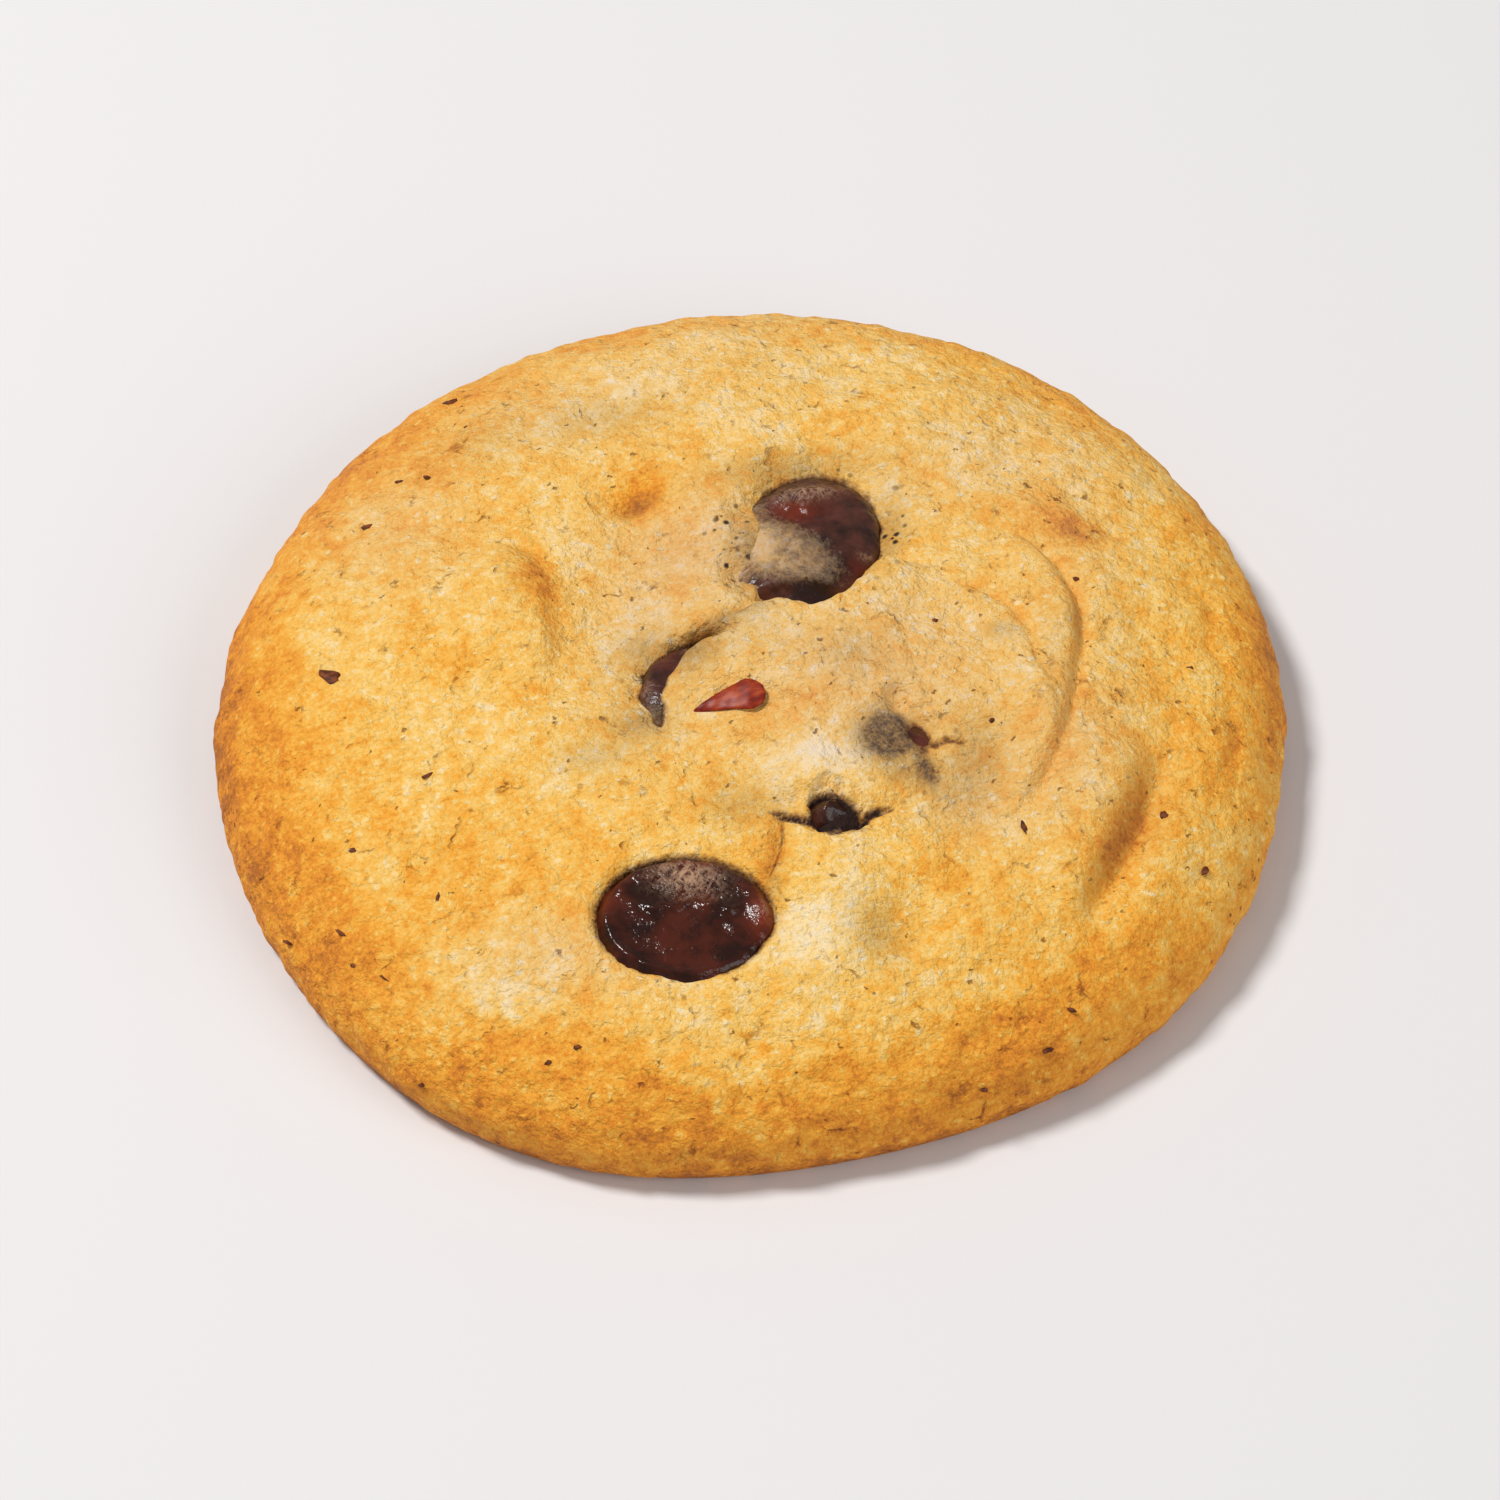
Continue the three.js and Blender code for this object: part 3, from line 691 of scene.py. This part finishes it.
def closed_underneath(points):
    """Closes a round grid by flat rings under its edge, each a smaller copy of the edge, down to a middle
    point. Returns all points and faces."""
    faces = grid_faces(CELLS + 1, CELLS + 1).tolist()
    numbers = np.arange((CELLS + 1) ** 2).reshape(CELLS + 1, CELLS + 1)
    outer = np.concatenate([numbers[:-1, 0], numbers[-1, :-1], numbers[:0:-1, -1], numbers[0, :0:-1]])
    rim = points[outer]
    for k in range(1, UNDER_RINGS):
        shrunk = 1.0 - k / UNDER_RINGS
        inner = len(points) + np.arange(len(outer))
        points = np.vstack([points, rim * np.array([shrunk, shrunk, 0.0])])
        faces += np.stack([outer, inner, np.roll(inner, -1), np.roll(outer, -1)], axis=1).tolist()
        outer = inner
    faces += np.stack([outer, np.full(len(outer), len(points)), np.roll(outer, -1)], axis=1).tolist()
    return np.vstack([points, np.zeros((1, 3))]), faces


def dough_piece():
    """The dough: a disc grid laid over crown and side, with relief on the top and fine lumps along the
    surface, closed underneath by flat rings."""
    length, share_at, height_at = side_profile()
    place, angle = round_grid(CELLS)
    share = np.interp(place, length, share_at)
    height = np.interp(place, length, height_at)
    radius = share * outline_radius(angle)
    x, y = radius * np.cos(angle), radius * np.sin(angle)
    places = np.stack([x, y, height], axis=-1)
    # The plain surface's slope, for lumps that stand square to it.
    step = 1e-3
    run = (np.interp(place + step, length, share_at) - np.interp(place - step, length, share_at)) * RADIUS
    drop = np.interp(place + step, length, height_at) - np.interp(place - step, length, height_at)
    size = np.hypot(run, drop)
    out, up = -drop / size, run / size
    top, push_x, push_y, toast, inside = dough_top(x, y)
    on_top = np.where(height > WIDEST_AT, 1.0 - smoothstep(*RELIEF_FADES, share), 0.0)
    height = height + on_top * (top - crown_height(x, y))
    lumps = surface_lumps(places, out)
    height = np.maximum(height + lumps * up * smoothstep(0.0, 1.2, places[..., 2]), 0.0)
    # How brown the dough is, with the painted shade of the blushes, the folds' low sides and the foot.
    bake_and_shade = bake_and_shade_share(x, y, share, places[..., 2], places) + toast * on_top
    amounts = {name: np.clip(bells(x, y, ovals.values()), 0, 1) for name, ovals in MARKS.items()}
    x = x + on_top * push_x + lumps * out * np.cos(angle)
    y = y + on_top * push_y + lumps * out * np.sin(angle)
    points, faces = closed_underneath(np.stack([x, y, height], axis=-1).reshape(-1, 3))
    piece = mesh_from("dough_round", points, faces)
    under = len(points) - (CELLS + 1) ** 2
    note(piece, "bake_and_shade", np.concatenate([bake_and_shade.ravel(), np.full(under, UNDER_BAKE)]))
    for name, amount in amounts.items():
        note(piece, name, np.concatenate([amount.ravel(), np.zeros(under)]))
    note(piece, "inside", np.concatenate([inside.ravel(), np.full(under, FAR_OUTSIDE)]))
    return piece


def turned(points, chip):
    """Points of a chip turned and tilted as it lies: about Z, then X, then Y."""
    a, b, c = (math.radians(v) for v in (chip["turn"], *chip["tilt"]))
    x, y, z = points[..., 0], points[..., 1], points[..., 2]
    x, y = x * math.cos(a) - y * math.sin(a), x * math.sin(a) + y * math.cos(a)
    y, z = y * math.cos(b) - z * math.sin(b), y * math.sin(b) + z * math.cos(b)
    x, z = x * math.cos(c) + z * math.sin(c), z * math.cos(c) - x * math.sin(c)
    return np.stack([x, y, z], axis=-1)


def chip_piece(name, seed, shape=None, columns=160, rows=80):
    """A chip: a sphere by longitude and latitude whose section is drawn out to a superellipse, with fine
    dents. shape, if given, returns a further height for places on the upper face."""
    chip = CHIPS[name]
    power = chip["power"]
    v, u = sphere_angles(rows, columns)
    flat, rise = np.sin(v), np.cos(v)
    size = (flat**power + np.abs(rise) ** power) ** (-1.0 / power)
    unit = np.stack([flat * np.cos(u) * size, flat * np.sin(u) * size, rise * size], axis=-1)
    tip = np.array([[0.0, 0.0, 1.0]])
    unit = np.vstack([tip, unit.reshape(-1, 3), -tip])
    points = unit * np.array(chip["half"])
    dents = grains(points, ((3.0, 0.06, seed), (1.3, 0.03, seed + 1)))
    points = points * (1.0 + (dents / chip["half"][1])[:, None])
    points = turned(points, chip) + chip_middle(name)
    x, y = points[:, 0], points[:, 1]
    if shape is not None:
        points[:, 2] += shape(x, y) * smoothstep(0.0, 0.5, unit[:, 2])
    rings = 1 + np.arange((rows - 1) * columns).reshape(rows - 1, columns)
    piece = mesh_from(name + "_chocolate", points, closed_rings(rings, 0, len(points) - 1))
    note(piece, "film", deepest(x, y, chip["films"]))
    note(piece, "blend", np.clip(bells(x, y, chip["blends"], 1.0), 0, 1))
    note(piece, "bare", deepest(x, y, chip["bare"]))
    note(piece, "red", bells(x, y, chip["red"]))
    note(piece, "bloom", bells(x, y, chip["bloom"]))
    return piece


def fill(tree, made, inputs):
    """Gives a node's inputs, each either a value or another node's output."""
    for key, value in inputs.items():
        if isinstance(value, bpy.types.NodeSocket):
            tree.links.new(value, made.inputs[key])
        else:
            made.inputs[key].default_value = value


def node(tree, kind, inputs=None, **settings):
    """Adds a shader node with its settings and inputs."""
    made = tree.nodes.new(kind)
    for key, value in settings.items():
        setattr(made, key, value)
    fill(tree, made, inputs or {})
    return made


def calc(tree, operation, a, b, clamp=False):
    """One operation on two values."""
    return node(tree, "ShaderNodeMath", {0: a, 1: b}, operation=operation, use_clamp=clamp).outputs[0]


def times(tree, a, b, clamp=False):
    """a times b."""
    return calc(tree, "MULTIPLY", a, b, clamp)


def plus(tree, a, b, factor, clamp=False):
    """a plus a factor of b."""
    return calc(tree, "ADD", a, times(tree, b, factor), clamp)


def remap(tree, value, low, high, interpolation="LINEAR"):
    """0 up to low, 1 from high, and a run between them; low may be above high."""
    inputs = {"Value": value, "From Min": low, "From Max": high}
    return node(tree, "ShaderNodeMapRange", inputs, interpolation_type=interpolation).outputs["Result"]


def paint(red, green, blue):
    """A colour given as screen values from 0 to 255, as linear light."""
    screen = np.array([red, green, blue]) / 255.0
    light = np.where(screen <= 0.04045, screen / 12.92, ((screen + 0.055) / 1.055) ** 2.4)
    return (*light.tolist(), 1.0)


def mixed(tree, share, a, b, mode="MIX"):
    """Colour a with a share of colour b."""
    inputs = {0: share, 6: a, 7: b}
    return node(tree, "ShaderNodeMix", inputs, data_type="RGBA", blend_type=mode).outputs[2]


def ramp(tree, share, stops):
    """A run of colours, each stop its place from 0 to 1 and its colour in screen values."""
    made = node(tree, "ShaderNodeValToRGB", {"Fac": share})
    band = made.color_ramp
    while len(band.elements) < len(stops):
        band.elements.new(0.5)
    for element, (place, colour) in zip(band.elements, stops):
        element.position = place
        element.color = paint(*colour)
    return made.outputs["Color"]


def noise(tree, where, wavelength, detail=2.0, roughness=0.5, output="Fac"):
    """Noise about 0.5 whose lumps are about a wavelength, in millimetres, across."""
    inputs = {"Vector": where, "Scale": 1.0 / (wavelength * MM), "Detail": detail, "Roughness": roughness}
    return node(tree, "ShaderNodeTexNoise", inputs).outputs[output]


def cells(tree, where, spacing, feature="F1", **more):
    """A texture of cells about a spacing, in millimetres, apart."""
    inputs = {"Vector": where, "Scale": 1.0 / (spacing * MM), **more}
    return node(tree, "ShaderNodeTexVoronoi", inputs, feature=feature)


def chance_of(tree, made):
    """A number from 0 to 1 for each cell."""
    return node(tree, "ShaderNodeSeparateColor", {"Color": made.outputs["Color"]}).outputs[0]


def specks(tree, where, spacing, size):
    """1 in round spots of up to a size, at random about a spacing apart, and 0 between them."""
    made = cells(tree, where, spacing)
    reach = times(tree, calc(tree, "POWER", chance_of(tree, made), 1.5), size / spacing)
    return remap(tree, made.outputs["Distance"], reach, times(tree, reach, 0.35), "SMOOTHSTEP")


def stretched(tree, where, angle, ratio):
    """The place, squeezed along one heading, so a texture read there comes out as strokes."""
    turn, scale = (0.0, 0.0, math.radians(angle)), (1.0 / ratio, 1.0, 1.0)
    inputs = {"Vector": where, "Rotation": turn, "Scale": scale}
    return node(tree, "ShaderNodeMapping", inputs, vector_type="TEXTURE").outputs["Vector"]


def crossed(tree, operation, where, angles, ratio, wavelength, detail, roughness):
    """Strokes of noise along two headings, joined by an operation."""
    both = (noise(tree, stretched(tree, where, a, ratio), wavelength, detail, roughness) for a in angles)
    return calc(tree, operation, *both)


def new_material(name):
    """A new material, its node tree and its shader."""
    material = bpy.data.materials.new(name)
    material.use_nodes = True
    return material, material.node_tree, material.node_tree.nodes["Principled BSDF"]


def places_and_marks(tree, *names):
    """Object coordinates, and the numbers noted at the vertices, by name."""
    marks = {n: node(tree, "ShaderNodeAttribute", attribute_name=n).outputs["Fac"] for n in names}
    return node(tree, "ShaderNodeTexCoord").outputs["Object"], marks


def bumped(tree, height, strength):
    """The normal of a surface with a height, in millimetres."""
    inputs = {"Height": height, "Strength": strength, "Distance": MM}
    return node(tree, "ShaderNodeBump", inputs).outputs["Normal"]


def crumb(tree, where):
    """The dough's close texture: a fine grain from about -1 to 1 with short strokes, 1 in pale crumbs,
    and 1 in dark pores and short cracks."""
    strokes = crossed(tree, "ADD", where, (25, 115), 0.5, 0.42, 2.0, 0.6)
    fine = plus(tree, strokes, noise(tree, where, 0.34, 3.0, 0.75), 2.2)
    fine = times(tree, calc(tree, "SUBTRACT", fine, 2.1), 1.7)
    bend = noise(tree, where, 0.5, output="Color")
    bend = node(tree, "ShaderNodeVectorMath", {0: bend, "Scale": 0.9 * MM}, operation="SCALE").outputs[0]
    bent = node(tree, "ShaderNodeVectorMath", {0: where, 1: bend}, operation="ADD").outputs[0]
    made = cells(tree, stretched(tree, bent, 15, 0.7), 0.75, "SMOOTH_F1", Smoothness=0.6)
    crumbs = remap(tree, made.outputs["Distance"], 0.42, 0.1, "SMOOTHSTEP")
    crumbs = times(tree, crumbs, chance_of(tree, made))
    small = specks(tree, stretched(tree, bent, 40, 0.6), 1.2, 0.2)
    pores = calc(tree, "MAXIMUM", small, specks(tree, stretched(tree, bent, -25, 0.6), 2.0, 0.32))
    edges = cells(tree, bent, 3.2, "DISTANCE_TO_EDGE")
    lines = remap(tree, edges.outputs["Distance"], 0.05, 0.01, "SMOOTHSTEP")
    broken = remap(tree, noise(tree, where, 2.0, 3.0, 0.65), 0.56, 0.74)
    return fine, crumbs, calc(tree, "MAXIMUM", pores, times(tree, lines, broken))


def dough_colour(tree, where, baked_and_shaded, sandy, fine, crumbs, dark):
    """The dough's colour from how brown it is, painted shade included, and how sandy it is."""
    mottle = calc(tree, "SUBTRACT", noise(tree, where, 1.2, 4.0, 0.75), 0.5)
    baked_and_shaded = plus(tree, plus(tree, baked_and_shaded, mottle, 0.5), crumbs, -0.26)
    colour = ramp(tree, plus(tree, calc(tree, "ADD", baked_and_shaded, 0.05), fine, 0.16, clamp=True), BAKED_COLOURS)
    dull = mixed(tree, 1.0, colour, paint(240, 234, 255), "MULTIPLY")
    colour = mixed(tree, sandy, colour, mixed(tree, 0.25, dull, paint(214, 186, 154)))
    toasted = mixed(tree, 1.0, colour, paint(158, 116, 88), "MULTIPLY")
    return mixed(tree, times(tree, dark, 0.8), colour, toasted)


def dough_finish():
    """Baked dough: a run from cream to brown by how brown it is, painted shade included, mottled and
    finely grained, grey where chocolate shows through and where shade is painted, dark at the edges of
    the openings and in gaps as painted shadow, with pores in colour and bump."""
    material, tree, shader = new_material("baked_dough")
    where, marks = places_and_marks(tree, "bake_and_shade", "inside", *MARKS)
    fine, crumbs, dark = crumb(tree, where)
    colour = dough_colour(tree, where, marks["bake_and_shade"], marks["sand"], fine, crumbs, dark)
    ragged = calc(tree, "SUBTRACT", noise(tree, where, 0.45, 3.0, 0.7), 0.5)
    # Grey where chocolate shows through the dough, and painted shade in creases, hollows and on slopes
    # turned from the light.
    stain_and_shade_share = times(tree, marks["stain_and_shade"], plus(tree, 0.9, ragged, 1.3), clamp=True)
    colour = mixed(tree, stain_and_shade_share, colour, paint(98, 75, 57))
    black = times(tree, specks(tree, where, 0.85, 0.46), times(tree, marks["speckled"], 1.5, clamp=True))
    colour = mixed(tree, black, colour, paint(52, 30, 20))
    # At the openings and the gaps along folds: a reddish-brown fringe, partly chocolate smeared on the
    # dough and partly painted shade, and within it a dark brown painted shadow of the gap.
    edge = plus(tree, marks["inside"], ragged, 0.6)
    fringe_and_gap_shade = times(tree, remap(tree, edge, -0.4, 0.0, "SMOOTHSTEP"), 0.8)
    colour = mixed(tree, fringe_and_gap_shade, colour, paint(102, 50, 24))
    colour = mixed(tree, remap(tree, edge, -0.1, 0.15, "SMOOTHSTEP"), colour, paint(38, 17, 10))
    height = plus(tree, times(tree, fine, 0.045), noise(tree, where, 0.9, 3.0, 0.6), 0.6)
    height = plus(tree, plus(tree, height, crumbs, 0.08), dark, -0.2)
    sockets = {"Base Color": colour, "Roughness": 0.78, "Specular IOR Level": 0.3}
    fill(tree, shader, {**sockets, "Normal": bumped(tree, height, 1.0)})
    return material


def chocolate_finish(name, colour, roughness, shine):
    """Dark chocolate, a little mottled, with redder patches, paler patches that are partly the
    chocolate's own paler colour and partly a painted highlight, and a film of dough where noted.
    """
    material, tree, shader = new_material(name)
    where, marks = places_and_marks(tree, "film", "blend", "bare", "red", "bloom")
    deep = remap(tree, noise(tree, where, 2.6, 4.0, 0.6), 0.38, 0.6)
    base = mixed(tree, deep, paint(*colour), paint(*(0.5 * c for c in colour)))
    redder = times(tree, marks["red"], noise(tree, where, 1.0, 3.0, 0.65), clamp=True)
    base = mixed(tree, redder, base, paint(150, 52, 22))
    # Paler threads: the chocolate's own paler colour, and on the back chip a painted highlight.
    threads = remap(tree, crossed(tree, "MAXIMUM", where, (60, -50), 0.35, 0.3, 3.0, 0.65), 0.45, 0.66)
    pale = times(tree, marks["bloom"], threads, clamp=True)
    base = mixed(tree, pale, base, paint(174, 136, 108))
    fine, crumbs, dark = crumb(tree, where)
    ragged = calc(tree, "SUBTRACT", noise(tree, where, 0.5, 4.0, 0.75), 0.5)
    film = remap(tree, plus(tree, marks["film"], ragged, 3.6), -0.4, 1.5)
    thin = remap(tree, noise(tree, where, 0.8, 4.0, 0.7), 0.2, 0.56)
    film = times(tree, film, calc(tree, "MAXIMUM", thin, marks["blend"]))
    film = times(tree, film, remap(tree, plus(tree, marks["bare"], ragged, 1.4), 0.1, -0.1))
    soiled = plus(tree, 0.62, marks["blend"], -0.34)
    dough = dough_colour(tree, where, 0.26, 1.0, fine, crumbs, dark)
    base = mixed(tree, film, base, mixed(tree, soiled, dough, paint(114, 88, 66)))
    rough = calc(tree, "MAXIMUM", plus(tree, roughness, pale, 0.2), times(tree, film, 0.85))
    height = plus(tree, times(tree, noise(tree, where, 0.9, 3.0, 0.6), 0.2), pale, 0.1)
    height = plus(tree, height, film, plus(tree, 0.2, fine, 0.05))
    sockets = {"Base Color": base, "Roughness": rough, "Specular IOR Level": shine}
    fill(tree, shader, {**sockets, "Normal": bumped(tree, height, 0.8)})
    return material


def coin_face(x, y):
    """The coin's upper face: flat inside a low rim, raised most at the front left, with a wrinkle across
    the middle, a dip behind it, and small knobs at the right and on the rim. u and v run from its middle
    in half widths."""
    u, v = (x - COIN_FACE[0]) / COIN_FACE[2], (y - COIN_FACE[1]) / COIN_FACE[3]
    reach = np.hypot(u, v)
    front_left = np.clip(-(0.57 * u + 0.82 * v) / np.maximum(reach, 0.1), 0.0, 1.0)
    rim = (0.12 + 0.4 * front_left**2) * np.exp(-(((reach - 0.87) / 0.055) ** 2))
    dish = -0.2 * smoothstep(0.82, 0.62, reach)
    across = smoothstep(0.62, 0.4, np.abs(u - 0.08))
    line = 0.13 + 0.06 * np.sin(9 * u + 0.4) + 0.03 * np.sin(22 * u)
    fold = 0.4 * np.exp(-(((v - line) / 0.05) ** 2)) * across
    sunk = -0.35 * bell(u, v, 0.05, 0.28, 0.45, 0.1, 0, 1.0)
    second = 0.14 * np.exp(-(((v - line + 0.2) / 0.05) ** 2)) * across * (0.5 + 0.5 * np.sin(14 * u))
    lump = bell(u, v, 0.84, 0.1, 0.14, 0.22, 10, 0.4)
    knobs = bell(u, v, 0.6, -0.2, 0.08, 0.07, 0, 0.25)
    for angle, size in RIM_KNOBS:
        c, s = compass(angle)
        knobs = knobs + bell(u, v, 0.86 * c, 0.86 * s, 0.05, 0.05, 0, size)
    return dish + rim + fold + sunk + second + lump + knobs


def back_face(x, y):
    """The back chip's upper face: a ridge along its back left edge with a hollow in front of it and small
    knobs between them, and a sunk strip at the front with a raised lip behind it."""
    front = oval_depth(x, y, CHIPS["chip_back"]["bare"][0])
    strip = -0.7 * smoothstep(-0.1, 0.5, front)
    shelf = 0.22 * np.exp(-(((front + 0.45) / 0.35) ** 2)) * smoothstep(6.5, 5.0, x)
    return bells(x, y, BACK_FACE) + strip + shelf


def crack_face(x, y):
    """The small chip's upper face: two flats that fall away from a ridge, and one in front of them."""
    cx, cy = CHIPS["chip_crack"]["opening"][:2]
    u, v = x - cx, y - cy
    return -0.4 * np.abs(u - 0.6 * v + 0.3) - 0.7 * np.maximum(-v - 0.1, 0.0)


def teardrop_piece():
    """The flake: a thin lens on a teardrop outline, which widens from its tail with the 0.8th power of
    the place along it and ends in a quarter ellipse. Each section is an ellipse, tilted a little, and the
    flake rises toward its head."""
    along, around = np.linspace(0.0, 1.0, 49)[1:-1], np.linspace(0.0, 2.0 * math.pi, 33)[:-1]
    t, a = np.meshgrid(along, around, indexing="ij")
    tail, head = np.array(FLAKE["tail"]), np.array(FLAKE["head"])
    axis = (head - tail) / np.linalg.norm(head - tail)
    side = np.array([-axis[1], axis[0]])
    rounded = np.maximum(t - FLAKE["round_from"], 0.0) / (1.0 - FLAKE["round_from"])
    width = np.minimum(1.25 * t**0.8, 1.0) * np.sqrt(np.maximum(1.0 - rounded**2, 0.0))
    middle = tail + (head - tail) * t[..., None] + side * (FLAKE["bend"] * np.sin(math.pi * t))[..., None]
    x, y = (middle[..., k] + side[k] * FLAKE["half_width"] * width * np.cos(a) for k in (0, 1))
    low, high = FLAKE["above"]
    lens = 0.5 * FLAKE["thickness"] * np.sqrt(width) * np.sin(a) + 0.1 * np.cos(a)
    dents = 0.012 * grain(np.stack([x, y, x], axis=-1), 1.2, 71)
    z = ground_height(x, y) + low + (high - low) * t + lens + dents
    points = np.stack([x, y, z], axis=-1)
    ends = np.array([[*tail, points[0, :, 2].mean()], [*head, points[-1, :, 2].mean()]])
    points = np.vstack([points.reshape(-1, 3), ends])
    rings = np.arange(t.size).reshape(t.shape)
    return mesh_from("red_flake", points, closed_rings(rings, len(points) - 2, len(points) - 1))


def flake_finish():
    """Red-brown and half glossy, darker in streaks."""
    material, tree, shader = new_material("red_flake")
    where, _ = places_and_marks(tree)
    streaks = noise(tree, stretched(tree, where, 20, 0.4), 0.6, 3.0, 0.6)
    colour = ramp(tree, streaks, ((0.35, (108, 26, 12)), (0.5, (138, 42, 18)), (0.68, (168, 68, 30))))
    fill(tree, shader, {"Base Color": colour, "Roughness": 0.38, "Specular IOR Level": 0.2})
    return material


def fleck_finish():
    """Dull dark brown."""
    material, tree, shader = new_material("dark_fleck")
    where, _ = places_and_marks(tree)
    colour = ramp(tree, noise(tree, where, 0.5), ((0.35, (70, 32, 16)), (0.65, (124, 66, 34))))
    fill(tree, shader, {"Base Color": colour, "Roughness": 0.6, "Specular IOR Level": 0.2})
    return material


def fleck_piece():
    """Small dark bits in the dough: dented little pebbles, each a sphere by longitude and latitude."""
    points, faces = [], []
    rows, columns = 8, 12
    v, u = sphere_angles(rows, columns)
    unit = np.stack([np.sin(v) * np.cos(u), np.sin(v) * np.sin(u), np.cos(v)], axis=-1).reshape(-1, 3)
    unit = np.vstack([[[0, 0, 1.0]], unit, [[0, 0, -1.0]]])
    rings = 1 + np.arange((rows - 1) * columns).reshape(rows - 1, columns)
    for number, (x, y, long_half, wide_half, turn) in enumerate(FLECKS):
        c, s = compass(turn)
        half = np.array([long_half, wide_half, 0.05 + 0.4 * wide_half])
        bit = unit * (1.0 + 0.2 * grain(unit, 1.1, 80 + number))[:, None] * half
        ground = ground_height(np.array([float(x)]), np.array([float(y)]))[0]
        bit = bit @ np.array([[c, s, 0], [-s, c, 0], [0, 0, 1]]) + [x, y, ground]
        start = len(unit) * number
        points.append(bit)
        faces += closed_rings(rings + start, start, start + len(unit) - 1)
    return mesh_from("dark_flecks", np.vstack(points), faces)


def floor_piece(reach=2000.0):
    """The floor: a square."""
    corners = np.array([(-reach, -reach, 0), (reach, -reach, 0), (reach, reach, 0), (-reach, reach, 0)])
    floor = mesh_from("floor", corners, [(0, 1, 2, 3)])
    material, tree, shader = new_material("floor_paper")
    fill(tree, shader, {"Base Color": paint(222, 220, 221), "Roughness": 0.9})
    floor.data.materials.append(material)


def aimed(name, data, place, target=(0.0, 0.0, 0.0)):
    """Puts a lamp or camera at a place, in metres, looking at a target."""
    made = bpy.data.objects.new(name, data)
    made.location = place
    made.rotation_euler = (Vector(target) - Vector(place)).to_track_quat("-Z", "Y").to_euler()
    bpy.context.scene.collection.objects.link(made)
    return made


def area_light(name, place, size, power, colour):
    """A round soft lamp that looks at the middle."""
    data = bpy.data.lights.new(name, "AREA")
    data.shape = "DISK"
    data.size = size
    data.energy = power
    data.color = colour
    aimed(name, data, place)


def camera():
    """The camera at the photograph's angle."""
    data = bpy.data.cameras.new("camera")
    data.lens = LENS
    data.sensor_width = 36.0
    data.clip_start = 0.01
    bpy.context.scene.camera = aimed("camera", data, Vector(CAMERA_AT) * MM)


dough = dough_piece()
dough.data.materials.append(dough_finish())
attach(dough, "root")
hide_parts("dough")

glossy = chocolate_finish("glossy_chocolate", (74, 29, 16), 0.16, 0.28)
dark = chocolate_finish("dark_chocolate", (84, 42, 28), 0.2, 0.3)
matt = chocolate_finish("matt_chocolate", (80, 43, 34), 0.24, 0.28)
for seed, (name, finish, shape) in enumerate(
    (
        ("coin", glossy, coin_face),
        ("chip_back", matt, back_face),
        ("chip_left", matt, None),
        ("chip_crack", dark, crack_face),
        ("chip_veiled", matt, None),
    )
):
    piece = chip_piece(name, 40 + 2 * seed, shape)
    piece.data.materials.append(finish)
    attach(piece, "root")
    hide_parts(name)

for piece, finish in ((teardrop_piece(), flake_finish()), (fleck_piece(), fleck_finish())):
    piece.data.materials.append(finish)
    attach(piece, "root")
    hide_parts("dough")

floor_piece()
for light in LIGHTS:
    area_light(*light)
world = bpy.data.worlds.new("room")
world.use_nodes = True
room = world.node_tree.nodes["Background"]
fill(world.node_tree, room, {"Color": (1.0, 1.0, 1.0, 1.0), "Strength": ROOM_LIGHT})
bpy.context.scene.world = world
bpy.context.scene.view_settings.view_transform = "Standard"
camera()
